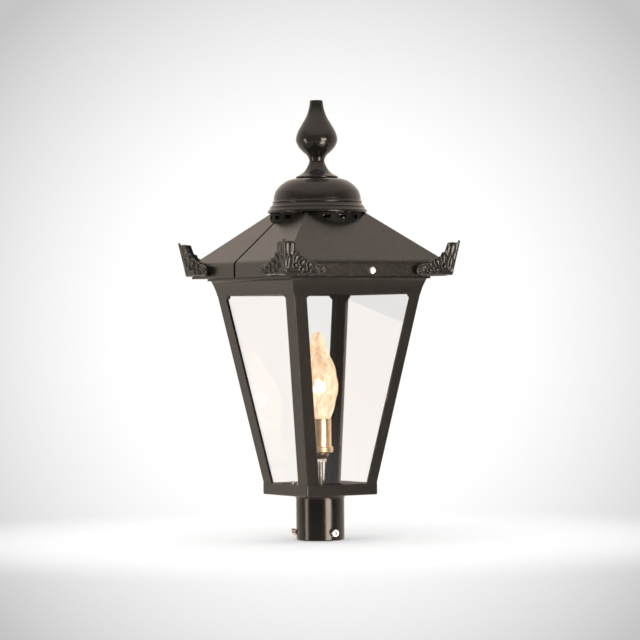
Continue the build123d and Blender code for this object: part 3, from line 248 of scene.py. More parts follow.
class Effects:
    """Shared surface effects, each a node group that is built once."""

    def __init__(self) -> None:
        """Builds every group."""
        self.mottle = self._mottle()
        self.peel = self._peel()
        self.rub = self._rub()
        self.dust = self._dust()
        self.drawn = self._drawn()
        self.flame = self._flame()

    def _group(self, name: str, inputs: dict[str, float], outputs: dict[str, str]) -> tuple[
            Wiring, bpy.types.Node, bpy.types.Node]:
        """Makes an empty group.

        Args:
            name: The group's name.
            inputs: Number inputs and their defaults.
            outputs: Outputs and their socket types.

        Returns:
            The group's wiring, its input node and its output node.
        """
        tree = bpy.data.node_groups.new(name, "ShaderNodeTree")
        for label, value in inputs.items():
            socket = tree.interface.new_socket(label, in_out="INPUT", socket_type="NodeSocketFloat")
            socket.default_value = value
        for label, kind in outputs.items():
            tree.interface.new_socket(label, in_out="OUTPUT", socket_type=kind)
        return Wiring(tree), tree.nodes.new("NodeGroupInput"), tree.nodes.new("NodeGroupOutput")

    def _mottle(self) -> bpy.types.NodeTree:
        """Cloudy variation of a coat's tone, coarse over fine.

        Returns:
            The group.
        """
        w, given, out = self._group("tone_mottle", {"Scale": 60.0}, {"Mask": "NodeSocketFloat"})
        place = w.place()
        coarse = w.noise(place, given.outputs["Scale"], detail=3.0, distortion=0.4)
        fine = w.noise(place, w.math("MULTIPLY", given.outputs["Scale"], 7.0), detail=2.0)
        mixed = w.math("ADD", w.math("MULTIPLY", coarse, 0.7), w.math("MULTIPLY", fine, 0.3))
        w.feed(out.inputs["Mask"], w.ramp(mixed, low=0.22, high=0.78))
        return w.tree

    def _peel(self) -> bpy.types.NodeTree:
        """Height of a sprayed coat's orange peel, with casting grain under it.

        Returns:
            The group.
        """
        w, given, out = self._group("coat_peel", {"Scale": 900.0, "Grain": 0.0},
                                    {"Height": "NodeSocketFloat"})
        place = w.place()
        peel = w.noise(place, given.outputs["Scale"], detail=1.5)
        cast = w.noise(place, w.math("MULTIPLY", given.outputs["Scale"], 0.22), detail=3.0)
        grain = w.math("MULTIPLY", cast, given.outputs["Grain"])
        w.feed(out.inputs["Height"], w.math("ADD", peel, grain))
        return w.tree

    def _rub(self) -> bpy.types.NodeTree:
        """Where edges are rubbed thin: the rim faces, broken up by noise.

        Returns:
            The group.
        """
        w, given, out = self._group("edge_rub", {"Amount": 0.5}, {"Mask": "NodeSocketFloat"})
        rim = w.add("Attribute", "rim faces", attribute_name="rim").outputs["Fac"]
        broken = w.ramp(w.noise(w.place(), scale=160.0, detail=4.0), low=0.40, high=0.66)
        rubbed = w.math("MULTIPLY", rim, broken)
        w.feed(out.inputs["Mask"],
               w.math("MULTIPLY", rubbed, given.outputs["Amount"], clamp=True))
        return w.tree

    def _dust(self) -> bpy.types.NodeTree:
        """Thin dust on surfaces that face upwards.

        Returns:
            The group.
        """
        w, given, out = self._group("settled_dust", {"Amount": 0.2}, {"Mask": "NodeSocketFloat"})
        upward = w.dot(w.add("NewGeometry").outputs["Normal"], Vector((0, 0, 1)))
        drift = w.ramp(w.noise(w.place(), scale=45.0, detail=5.0), low=0.35, high=0.75)
        lying = w.math("MULTIPLY", w.ramp(upward, low=0.35, high=0.95), drift)
        w.feed(out.inputs["Mask"],
               w.math("MULTIPLY", lying, given.outputs["Amount"], clamp=True))
        return w.tree

    def _drawn(self) -> bpy.types.NodeTree:
        """Height and streak mask of fine turning and drawing lines round the lantern's axis.

        Returns:
            The group.
        """
        w, given, out = self._group("drawn_lines", {"Scale": 1200.0},
                                    {"Height": "NodeSocketFloat", "Mask": "NodeSocketFloat"})
        lines = w.noise(w.stretched((0.08, 0.08, 1.0)), given.outputs["Scale"], detail=3.0)
        stains = w.noise(w.place(), scale=220.0, detail=4.0)
        mixed = w.math("ADD", w.math("MULTIPLY", lines, 0.5), w.math("MULTIPLY", stains, 0.5))
        w.feed(out.inputs["Height"], lines)
        w.feed(out.inputs["Mask"], w.ramp(mixed, low=0.35, high=0.65))
        return w.tree

    def _flame(self) -> bpy.types.NodeTree:
        """Streaks that climb the lamp's glass, and the height band of its hot heart.

        Returns:
            The group.
        """
        w, given, out = self._group("flame_streaks", {"Heart": 0.25, "Spread": 0.01},
                                    {"Streaks": "NodeSocketFloat", "Wisps": "NodeSocketFloat",
                                     "Band": "NodeSocketFloat"})
        streaks = w.noise(w.stretched((1.0, 1.0, 0.22)), scale=120.0, detail=4.0,
                          distortion=1.1)
        wisps = w.noise(w.stretched((1.0, 1.0, 0.40)), scale=52.0, detail=3.0, distortion=1.6)
        height = w.add("SeparateXYZ")
        w.feed(height.inputs[0], w.place())
        above = w.math("SUBTRACT", height.outputs["Z"], given.outputs["Heart"])
        off = w.math("DIVIDE", above, given.outputs["Spread"])
        fall = w.math("MULTIPLY", w.math("MULTIPLY", off, off), -1.0)
        w.feed(out.inputs["Streaks"], w.ramp(streaks, low=0.36, high=0.66))
        w.feed(out.inputs["Wisps"], w.ramp(wisps, low=0.46, high=0.64))
        w.feed(out.inputs["Band"], w.math("EXPONENT", fall))
        return w.tree


# ---------------------------------------------------------------- finishes


@dataclass(frozen=True)
class Finish:
    """A surface finish: its name and the record's slot that it stands for."""

    name: str
    slot: Slot

    def material(self, effects: Effects) -> bpy.types.Material:
        """Builds the finish's material.

        Args:
            effects: The shared node groups.

        Returns:
            The new material.
        """
        made = bpy.data.materials.new(self.name)
        made.use_nodes = True
        made.node_tree.nodes.clear()
        w = Wiring(made.node_tree)
        shader = w.add("BsdfPrincipled")
        output = w.add("OutputMaterial")
        w.feed(output.inputs["Surface"], shader.outputs[0])
        self.dress(w, shader, effects)
        return made

    def dress(self, w: Wiring, shader: bpy.types.Node, effects: Effects) -> None:
        """Sets the shader up. Each kind of finish has its own way.

        Args:
            w: The material's wiring.
            shader: Its Principled BSDF.
            effects: The shared node groups.
        """
        raise NotImplementedError

    def effect(self, w: Wiring, tree: bpy.types.NodeTree, **values: float) -> bpy.types.Node:
        """Places a shared group in a material.

        Args:
            w: The material's wiring.
            tree: The group.
            values: The group's inputs, by name.

        Returns:
            The group's node.
        """
        node = w.add("Group", tree.name)
        node.node_tree = tree
        for label, value in values.items():
            node.inputs[label].default_value = value
        return node

    def bump(self, w: Wiring, shader: bpy.types.Node, height: bpy.types.NodeSocket,
             strength: float, distance: float) -> None:
        """Feeds a height to the shader's normal.

        Args:
            w: The material's wiring.
            shader: Its Principled BSDF.
            height: The height's socket.
            strength: The Bump node's strength.
            distance: The Bump node's distance, in metres.
        """
        node = w.add("Bump")
        node.inputs["Strength"].default_value = strength
        node.inputs["Distance"].default_value = distance
        w.feed(node.inputs["Height"], height)
        w.feed(shader.inputs["Normal"], node.outputs[0])


@dataclass(frozen=True)
class Coat(Finish):
    """Black-brown stoved coat over sheet or castings."""

    deep: Colour = (0.0120, 0.0100, 0.0082)
    pale: Colour = (0.0180, 0.0150, 0.0122)
    rubbed: Colour = (0.050, 0.044, 0.037)
    dust: Colour = (0.085, 0.078, 0.068)
    rough: float = 0.27
    rough_swing: float = 0.02
    dust_rough: float = 0.25
    peel: float = 0.14
    peel_scale: float = 900.0
    peel_depth: float = 0.0004
    grain: float = 0.0
    mottle_scale: float = 55.0
    rub: float = 0.30
    settled: float = 0.10
    gloss: float = 0.5

    def dress(self, w: Wiring, shader: bpy.types.Node, effects: Effects) -> None:
        """Tone mottle, rubbed edges, a trace of dust and orange peel.

        Args:
            w: The material's wiring.
            shader: Its Principled BSDF.
            effects: The shared node groups.
        """
        mottle = self.effect(w, effects.mottle, Scale=self.mottle_scale).outputs["Mask"]
        rub = self.effect(w, effects.rub, Amount=self.rub).outputs["Mask"]
        dust = self.effect(w, effects.dust, Amount=self.settled).outputs["Mask"]
        tone = w.blend(mottle, self.deep, self.pale)
        tone = w.blend(rub, tone, self.rubbed)
        w.feed(shader.inputs["Base Color"], w.blend(dust, tone, self.dust))
        rough = w.ramp(mottle, 0.0, 1.0, self.rough + self.rough_swing,
                       self.rough - self.rough_swing)
        dusty = w.math("MULTIPLY", dust, self.dust_rough)
        w.feed(shader.inputs["Roughness"], w.math("ADD", rough, dusty))
        shader.inputs["Specular IOR Level"].default_value = self.gloss
        peel = self.effect(w, effects.peel, Scale=self.peel_scale, Grain=self.grain)
        self.bump(w, shader, peel.outputs["Height"], self.peel, self.peel_depth)


@dataclass(frozen=True)
class Metal(Finish):
    """Bare or plated metal with turning lines and a faint bloom."""

    bright: Colour = (0.80, 0.79, 0.77)
    dull: Colour = (0.56, 0.55, 0.53)
    rough: float = 0.22
    rough_swing: float = 0.08
    lines: float = 0.12
    line_depth: float = 0.0001
    scale: float = 1400.0
    mottle_scale: float = 140.0

    def dress(self, w: Wiring, shader: bpy.types.Node, effects: Effects) -> None:
        """Bright metal that dulls in streaks.

        Args:
            w: The material's wiring.
            shader: Its Principled BSDF.
            effects: The shared node groups.
        """
        drawn = self.effect(w, effects.drawn, Scale=self.scale)
        mottle = self.effect(w, effects.mottle, Scale=self.mottle_scale).outputs["Mask"]
        bloom = w.math("MULTIPLY", drawn.outputs["Mask"], mottle)
        w.feed(shader.inputs["Base Color"], w.blend(bloom, self.bright, self.dull))
        w.feed(shader.inputs["Roughness"],
               w.ramp(bloom, 0.0, 1.0, self.rough, self.rough + self.rough_swing))
        shader.inputs["Metallic"].default_value = 1.0
        self.bump(w, shader, drawn.outputs["Height"], self.lines, self.line_depth)


@dataclass(frozen=True)
class Moulded(Finish):
    """Rubber, polyamide or glazed porcelain."""

    body: Colour = (0.8, 0.78, 0.72)
    stain: Colour = (0.6, 0.57, 0.5)
    rough: float = 0.4
    rough_swing: float = 0.1
    grain: float = 0.15
    grain_depth: float = 0.0002
    grain_share: float = 0.3
    scale: float = 1500.0
    mottle_scale: float = 90.0

    def dress(self, w: Wiring, shader: bpy.types.Node, effects: Effects) -> None:
        """A body colour with faint staining and a moulded grain.

        Args:
            w: The material's wiring.
            shader: Its Principled BSDF.
            effects: The shared node groups.
        """
        mottle = self.effect(w, effects.mottle, Scale=self.mottle_scale).outputs["Mask"]
        w.feed(shader.inputs["Base Color"], w.blend(mottle, self.body, self.stain))
        w.feed(shader.inputs["Roughness"],
               w.ramp(mottle, 0.0, 1.0, self.rough, self.rough + self.rough_swing))
        peel = self.effect(w, effects.peel, Scale=self.scale, Grain=self.grain_share)
        self.bump(w, shader, peel.outputs["Height"], self.grain, self.grain_depth)


@dataclass(frozen=True)
class PaneGlass(Finish):
    """Clear drawn glass with a trace of film."""

    clear: Colour = (0.997, 0.990, 0.982)
    film: Colour = (0.985, 0.976, 0.966)
    shadow: Colour = (0.95, 0.95, 0.94)
    index: float = 1.5
    film_rough: float = 0.012
    film_scale: float = 16.0

    def dress(self, w: Wiring, shader: bpy.types.Node, effects: Effects) -> None:
        """Glass that lets the lamps through in shadow rays.

        Args:
            w: The material's wiring.
            shader: Its Principled BSDF.
            effects: The shared node groups.
        """
        mottle = self.effect(w, effects.mottle, Scale=self.film_scale).outputs["Mask"]
        w.feed(shader.inputs["Base Color"], w.blend(mottle, self.clear, self.film))
        w.feed(shader.inputs["Roughness"], w.ramp(mottle, 0.0, 1.0, 0.0, self.film_rough))
        shader.inputs["Transmission Weight"].default_value = 1.0
        shader.inputs["IOR"].default_value = self.index
        output = next(n for n in w.tree.nodes if n.type == "OUTPUT_MATERIAL")
        through = w.add("BsdfTransparent")
        through.inputs["Color"].default_value = (*self.shadow, 1.0)
        mix = w.add("MixShader")
        w.feed(mix.inputs[0], w.add("LightPath").outputs["Is Shadow Ray"])
        w.feed(mix.inputs[1], shader.outputs[0])
        w.feed(mix.inputs[2], through.outputs[0])
        w.feed(output.inputs["Surface"], mix.outputs[0])


@dataclass(frozen=True)
class LitGlass(Finish):
    """Frosted lamp glass that glows cream, with amber streaks and a white-hot heart.

    The heart's height and spread are in metres, as its group reads them.
    """

    cream: Colour = (1.0, 0.85, 0.60)
    amber: Colour = (0.62, 0.31, 0.13)
    rose: Colour = (0.82, 0.56, 0.33)
    heat: Colour = (1.0, 0.86, 0.62)
    glass: Colour = (0.26, 0.22, 0.17)
    stain: Colour = (0.18, 0.12, 0.08)
    glow: float = 1.04
    heat_level: float = 60.0
    heart_height: float = 0.2686
    heart_spread: float = 0.0062
    heart_focus: float = 60.0
    rose_share: float = 0.75
    wisp_share: float = 0.60
    edge_share: float = 0.65
    edge_focus: float = 3.0
    rough: Point = (0.25, 0.45)

    def dress(self, w: Wiring, shader: bpy.types.Node, effects: Effects) -> None:
        """Streaked glow, hottest at mid height where the glass faces the viewer.

        Args:
            w: The material's wiring.
            shader: Its Principled BSDF.
            effects: The shared node groups.
        """
        flame = self.effect(w, effects.flame, Heart=self.heart_height, Spread=self.heart_spread)
        streaks, wisps = flame.outputs["Streaks"], flame.outputs["Wisps"]
        body = w.blend(w.math("MULTIPLY", streaks, self.rose_share), self.cream, self.rose)
        body = w.blend(w.math("MULTIPLY", wisps, self.wisp_share), body, self.amber)
        rim = w.add("LayerWeight")
        rim.inputs["Blend"].default_value = 0.5
        edge = w.math("POWER", rim.outputs["Facing"], self.edge_focus)
        body = w.blend(w.math("MULTIPLY", edge, self.edge_share), body, self.amber)
        facing = w.math("SUBTRACT", 1.0, rim.outputs["Facing"])
        middle = w.math("POWER", facing, self.heart_focus)
        hot = w.math("MULTIPLY", middle, flame.outputs["Band"], clamp=True)
        scaled = w.blend(1.0, body, (self.glow / self.heat_level,) * 3, "MULTIPLY")
        w.feed(shader.inputs["Emission Color"], w.blend(hot, scaled, self.heat))
        shader.inputs["Emission Strength"].default_value = self.heat_level
        w.feed(shader.inputs["Base Color"], w.blend(streaks, self.glass, self.stain))
        w.feed(shader.inputs["Roughness"], w.ramp(streaks, 0.0, 1.0, *self.rough))


class Finishes:
    """The lantern's finishes, each built as a material once."""

    SHEET = Coat("powder_coat_sheet", Slot.POWDER_COAT)
    FRAME = Coat("powder_coat_frame", Slot.POWDER_COAT, rough=0.22, rough_swing=0.01, peel=0.12,
                 grain=0.3, settled=0.05)
    # Lighter copy of the powder coat: its extra lightness on the socket and dome is painted light.
    TURNED = Coat("powder_coat_turned", Slot.POWDER_COAT, deep=(0.022, 0.0188, 0.0158),
                  pale=(0.034, 0.029, 0.0245), rough=0.19, rough_swing=0.02, peel=0.08,
                  settled=0.04, gloss=0.31)
    # Near-black coat that is painted shade: it stands in for the shadow under the dome's rim and in
    # the roof's seam.
    PAINTED_SHADE = Coat("powder_coat_throat", Slot.POWDER_COAT, deep=(0.003, 0.0027, 0.0027),
                 pale=(0.005, 0.0045, 0.0043), rough=0.6, gloss=0.12, settled=0.0, rub=0.0)
    CASTING = Coat("cast_coat_relief", Slot.CAST_COAT, deep=(0.017, 0.0155, 0.0135),
                   pale=(0.028, 0.026, 0.023), rough=0.25, rough_swing=0.03, peel=0.08, grain=0.4,
                   rub=0.0, gloss=0.40)
    # Lighter copy of the cast coat: its extra lightness on the finial is painted light.
    FINIAL = Coat("cast_coat_turned", Slot.CAST_COAT, deep=(0.024, 0.0210, 0.0180),
                  pale=(0.036, 0.0315, 0.0270), rough=0.16, rough_swing=0.02, peel=0.05,
                  settled=0.03, gloss=0.33)
    STEEL = Metal("bright_steel_turned", Slot.BRIGHT_STEEL, bright=(0.95, 0.94, 0.92),
                  dull=(0.78, 0.77, 0.75), rough=0.30)
    DOMED = Metal("bright_steel_domed", Slot.BRIGHT_STEEL, bright=(1.0, 0.99, 0.98),
                  dull=(0.94, 0.93, 0.91), rough=0.55, lines=0.03)
    ZINC = Metal("zinc_plate", Slot.ZINC_STEEL, bright=(0.66, 0.66, 0.64), dull=(0.45, 0.45, 0.43),
                 rough=0.34)
    # Darkened zinc. On the ties inside the dome it is painted shade; on the lamp's stem it is only
    # a darker tone.
    STEM = Metal("zinc_darkened", Slot.ZINC_STEEL, bright=(0.20, 0.185, 0.155),
                 dull=(0.09, 0.08, 0.065), rough=0.30)
    BRASS = Metal("brass_turned", Slot.BRASS, bright=(0.93, 0.71, 0.45), dull=(0.62, 0.40, 0.23),
                  rough=0.30, rough_swing=0.12)
    BRONZED = Metal("brass_bronzed", Slot.BRASS, bright=(0.30, 0.15, 0.08),
                    dull=(0.12, 0.055, 0.03), rough=0.24)
    CAP = Metal("lamp_cap_nickel", Slot.LAMP_METAL, bright=(0.75, 0.72, 0.66),
                dull=(0.5, 0.47, 0.42))
    PANE = PaneGlass("pane_glass_clear", Slot.PANE_GLASS)
    GLOW = LitGlass("lamp_glass_lit", Slot.LAMP_GLASS)
    MOUNT = Moulded("lamp_glass_mount", Slot.LAMP_GLASS, body=(0.80, 0.84, 0.82),
                    stain=(0.66, 0.71, 0.69), rough=0.06, grain=0.02)
    PORCELAIN = Moulded("porcelain_glazed", Slot.INSULATOR, body=(0.86, 0.84, 0.79),
                        stain=(0.72, 0.69, 0.62), rough=0.16, grain=0.05)
    RUBBER = Moulded("rubber_soft", Slot.GROMMET_RUBBER, body=(0.018, 0.018, 0.018),
                     stain=(0.04, 0.04, 0.038), rough=0.62, grain=0.4, scale=2600.0)
    POLYAMIDE = Moulded("polyamide_moulded", Slot.TERMINAL_PLASTIC, body=(0.80, 0.79, 0.74),
                        stain=(0.68, 0.66, 0.60), rough=0.42)

    def __init__(self) -> None:
        """Starts with no material built."""
        self.effects = Effects()
        self.built: dict[str, bpy.types.Material] = {}

    def material(self, finish: Finish) -> bpy.types.Material:
        """Builds a finish's material when it is first asked for.

        Args:
            finish: The finish.

        Returns:
            Its one material.
        """
        if finish.name not in self.built:
            self.built[finish.name] = finish.material(self.effects)
        return self.built[finish.name]


# ---------------------------------------------------------------- outlines and bench


class Outline:
    """A half section, drawn as (radius, height) points."""

    def __init__(self, radius: float, height: float) -> None:
        """Starts at a point."""
        self.points: list[Point] = [(radius, height)]

    def to(self, *points: Point) -> "Outline":
        """Adds straight runs to points, and returns the outline."""
        self.points.extend(points)
        return self

    def arc(self, centre: Point, end_angle: float, steps: int = 8) -> "Outline":
        """Adds an arc from the last point about a centre.

        Args:
            centre: The arc's centre.
            end_angle: The angle of its end, in degrees, from +radius towards +height.
            steps: Its number of runs.

        Returns:
            The outline.
        """
        dr, dz = self.points[-1][0] - centre[0], self.points[-1][1] - centre[1]
        reach, first = math.hypot(dr, dz), math.atan2(dz, dr)
        turn = (math.radians(end_angle) - first + math.pi) % (2 * math.pi) - math.pi
        for step in range(1, steps + 1):
            angle = first + turn * step / steps
            self.points.append((centre[0] + reach * math.cos(angle),
                                centre[1] + reach * math.sin(angle)))
        return self

    def through(self, knots: list[Point], leave: Point, arrive: Point,
                steps: int = 10) -> "Outline":
        """Adds a smooth curve from the last point through knots.

        Args:
            knots: The points that it passes, the last one its end.
            leave: Its direction at the start.
            arrive: Its direction at the end.
            steps: The number of runs between two knots.

        Returns:
            The outline.
        """
        stops = [Vector((*p, 0.0)) for p in [self.points[-1], *knots]]
        slopes = [Vector((*leave, 0.0)).normalized()]
        slopes += [(b - a).normalized() for a, b in zip(stops, stops[2:])]
        slopes.append(Vector((*arrive, 0.0)).normalized())
        for i, (a, b) in enumerate(zip(stops, stops[1:])):
            pull = (b - a).length / 3
            run = interpolate_bezier(a, a + slopes[i] * pull, b - slopes[i + 1] * pull, b,
                                     steps + 1)
            self.points.extend((max(p.x, 0.0), p.y) for p in run[1:])
        return self


@dataclass(frozen=True)
class Ring:
    """One ring of a stack: its radius or half width over flats, its height and its form."""

    radius: float
    height: float
    hexagonal: bool = False


class Bench:
    """Makes meshes with bmesh operators, and places finished pieces on their bodies."""

    SPUN_MERGE = 0.002   # millimetres within which a spun shape's points are one
    NODE_MERGE = 0.004   # millimetres within which a CAD node's loose corners are one
    NODE_FLAT = 0.6      # degrees within which a CAD node's faces are one
    SLIVER = 0.001       # millimetres below which an edge is dropped

    def __init__(self, finishes: Finishes) -> None:
        """Notes which body each CAD node belongs to.

        Args:
            finishes: The finishes that pieces are dressed in.
        """
        self.finishes = finishes
        bodies = frame["record"]["behaviour"]["bodies"]
        self.body_of = {node: body for body, nodes in bodies.items() for node in nodes}

    def spun(self, outline: Outline, steps: int = 96, closed: bool = False) -> bmesh.types.BMesh:
        """Spins a half section round the lantern's axis.

        Args:
            outline: The half section. An open one starts and ends on the axis.
            steps: The number of steps round.
            closed: Whether the section is a closed loop. A stretch of it may lie on the axis.

        Returns:
            The closed shape.
        """
        bm = bmesh.new()
        verts = [bm.verts.new((r, 0.0, z)) for r, z in outline.points]
        pairs = list(zip(verts, verts[1:])) + ([(verts[-1], verts[0])] if closed else [])
        edges = [bm.edges.new(pair) for pair in pairs]
        bmesh.ops.spin(bm, geom=verts + edges, cent=(0, 0, 0), axis=(0, 0, 1), angle=math.tau,
                       steps=steps, use_merge=True)
        bmesh.ops.remove_doubles(bm, verts=bm.verts, dist=self.SPUN_MERGE)
        bmesh.ops.recalc_face_normals(bm, faces=bm.faces)
        loose = [e for e in bm.edges if not e.link_faces]
        bmesh.ops.delete(bm, geom=loose, context="EDGES")
        return bm

    def rounded(self, node: str, radius: float, segments: int = 2,
                sharp: float = 35.0) -> bmesh.types.BMesh:
        """A merged copy of a CAD node with its sharp edges rounded.

        Args:
            node: The CAD node.
            radius: The rounding's width, in millimetres.
            segments: The rounding's segments.
            sharp: The least angle between faces that is rounded, in degrees.

        Returns:
            The copy, in millimetres, with a rim layer that marks the new faces.
        """
        bm = bmesh.new()
        bm.from_mesh(frame["nodes"][node].data)
        bmesh.ops.scale(bm, vec=(1 / MM,) * 3, verts=bm.verts)
        bmesh.ops.remove_doubles(bm, verts=bm.verts, dist=self.NODE_MERGE)
        bmesh.ops.dissolve_limit(bm, angle_limit=math.radians(self.NODE_FLAT), verts=bm.verts,
                                 edges=bm.edges, use_dissolve_boundaries=False)
        rim = bm.faces.layers.float.new("rim")
        least = math.radians(sharp)
        edges = [e for e in bm.edges if e.is_manifold and e.calc_face_angle(0.0) > least]
        made = bmesh.ops.bevel(bm, geom=edges, offset=radius, offset_type="OFFSET", affect="EDGES",
                               segments=segments, profile=0.5, clamp_overlap=True, material=-1)
        for face in made["faces"]:
            face[rim] = 1.0
        bmesh.ops.dissolve_degenerate(bm, dist=self.SLIVER, edges=bm.edges)
        return bm

    def ringed(self, rings: list[Ring], segments: int = 48) -> bmesh.types.BMesh:
        """Bridges a stack of rings along Z into a closed shape.

        Args:
            rings: The rings, from one end to the other.
            segments: Each ring's segments, a multiple of six.

        Returns:
            The closed shape.
        """
        bm = bmesh.new()
        below: list[bmesh.types.BMEdge] = []
        for ring in rings:
            level = Matrix.Translation((0, 0, ring.height))
            verts = bmesh.ops.create_circle(bm, cap_ends=False, segments=segments,
                                            radius=ring.radius, matrix=level)["verts"]
            if ring.hexagonal:
                for vert in verts:
                    turn = math.atan2(vert.co.y, vert.co.x) % (math.pi / 3) - math.pi / 6
                    vert.co.xy *= 1 / math.cos(turn)
            loop = list({e for v in verts for e in v.link_edges})
            if below:
                bmesh.ops.bridge_loops(bm, edges=below + loop)
            below = loop
        bmesh.ops.holes_fill(bm, edges=bm.edges, sides=0)
        bmesh.ops.recalc_face_normals(bm, faces=bm.faces)
        return bm

    def worked(self, bm: bmesh.types.BMesh,
               work: Callable[[bpy.types.Object], list[bpy.types.Object]]) -> bmesh.types.BMesh:
        """Applies modifiers to a shape.

        Args:
            bm: The shape, in millimetres. It is freed.
            work: Adds the modifiers to the object that holds the shape, and returns the
                objects that they use, which are removed afterwards.

        Returns:
            The finished shape, in millimetres.
        """
        bmesh.ops.scale(bm, vec=(MM,) * 3, verts=bm.verts)
        rough = bpy.data.meshes.new("rough_shape")
        bm.to_mesh(rough)
        bm.free()
        holder = bpy.data.objects.new("rough_shape", rough)
        bpy.context.scene.collection.objects.link(holder)
        tools = work(holder)
        graph = bpy.context.evaluated_depsgraph_get()
        skin = bpy.data.meshes.new_from_object(holder.evaluated_get(graph))
        done = bmesh.new()
        done.from_mesh(skin)
        bmesh.ops.scale(done, vec=(1 / MM,) * 3, verts=done.verts)
        bpy.data.meshes.remove(skin)
        for spent in (holder, *tools):
            mesh = spent.data
            bpy.data.objects.remove(spent)
            bpy.data.meshes.remove(mesh)
        return done

    def place(self, bm: bmesh.types.BMesh, name: str, finish: Finish, node: str,
              sharp: float = 50.0, weighted: bool = False) -> bpy.types.Object:
        """Turns a shape into a piece that replaces a CAD node.

        Args:
            bm: The shape, in millimetres. It is freed.
            name: The piece's name.
            finish: Its finish.
            node: The CAD node that it stands for, whose body it rides on.
            sharp: Edges with a greater angle are shaded sharp, in degrees.
            weighted: Whether large faces keep their own normals.

        Returns:
            The piece.
        """
        bmesh.ops.scale(bm, vec=(MM,) * 3, verts=bm.verts)
        for face in bm.faces:
            face.smooth = True
        for edge in bm.edges:
            edge.smooth = edge.is_manifold and edge.calc_face_angle(0.0) < math.radians(sharp)
        mesh = bpy.data.meshes.new(name)
        bm.to_mesh(mesh)
        bm.free()
        piece = bpy.data.objects.new(name, mesh)
        bpy.context.scene.collection.objects.link(piece)
        mesh.materials.append(self.finishes.material(finish))
        if weighted:
            piece.modifiers.new("even_faces", "WEIGHTED_NORMAL").keep_sharp = True
        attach(piece, self.body_of[node])
        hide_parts(node)
        LOG.info("%s: %d faces, for %s", name, len(mesh.polygons), node)
        return piece

    def dress(self, finish: Finish, *nodes: str) -> None:
        """Gives CAD nodes that stay in sight a finish.

        Args:
            finish: The finish.
            nodes: The CAD nodes.
        """
        for node in nodes:
            slots = frame["nodes"][node].data.materials
            slots.clear()
            slots.append(self.finishes.material(finish))
            LOG.info("%s: %s", node, finish.name)


# ---------------------------------------------------------------- sub-assemblies


@dataclass
class SetBolts:
    """Three cap screws with hexagon recesses, low on the socket."""

    angles: tuple[float, ...] = (-90.0, 30.0, 150.0)
    height: float = (lowest("set_bolt_1").z + highest("set_bolt_1").z) / 2
    tip: float = -highest("set_bolt_1").y
    top: float = -lowest("set_bolt_1").y
    head: float = 8.0
    head_radius: float = 6.5
    shank_radius: float = 4.0
    hexagon: float = 3.0
    depth: float = 4.8
    crest: float = 0.32
    turns: int = 4

    def stance(self, angle: float) -> Matrix:
        """Where a screw that stands along Z goes, by its angle round the socket in degrees."""
        turn = Matrix.Rotation(math.radians(angle), 4, "Z") @ Matrix.Rotation(math.pi / 2, 4, "Y")
        return Matrix.Translation((0, 0, self.height)) @ turn

    def shank(self, seat: float) -> list[Ring]:
        """The threaded shank's rings.

        Args:
            seat: Where the head begins.

        Returns:
            The rings, from the tip to the head.
        """
        lead, first, r = 0.7, 0.9, self.shank_radius
        rings = [Ring(r - 0.8, self.tip), Ring(r - 0.1, self.tip + lead)]
        pitch = (seat - self.tip - 1.2) / self.turns
        for turn in range(self.turns):
            root = self.tip + first + turn * pitch
            rings += [Ring(r - self.crest, root + 0.3 * pitch), Ring(r, root + 0.8 * pitch)]
        return [*rings, Ring(r - 0.1, seat)]

    def screw(self, bench: Bench) -> bmesh.types.BMesh:
        """The threaded shank, rounded head and recess, standing along Z.

        Args:
            bench: The bench that makes it.

        Returns:
            The closed shape.
        """
        top, r, flats = self.top, self.head_radius, self.hexagon
        seat = top - self.head
        head = [Ring(r - 0.5, seat), Ring(r, seat + 0.5), Ring(r, top - 1.3),
                Ring(r - 0.25, top - 0.6), Ring(r - 0.8, top - 0.15), Ring(r - 1.5, top)]
        recess = [Ring(flats + 0.75, top), Ring(flats + 0.35, top - 0.15),
                  Ring(flats, top - 0.55, True), Ring(flats, top - self.depth, True)]
        return bench.ringed([*self.shank(seat), *head, *recess])

    def build(self, bench: Bench) -> None:
        """Places one screw at each angle.

        Args:
            bench: The bench that makes and places them.
        """
        for number, angle in enumerate(self.angles, start=1):
            bm = self.screw(bench)
            bmesh.ops.transform(bm, matrix=self.stance(angle), verts=bm.verts)
            bench.place(bm, f"set_bolt_{number}_screw", Finishes.STEEL, f"set_bolt_{number}",
                        sharp=38.0)


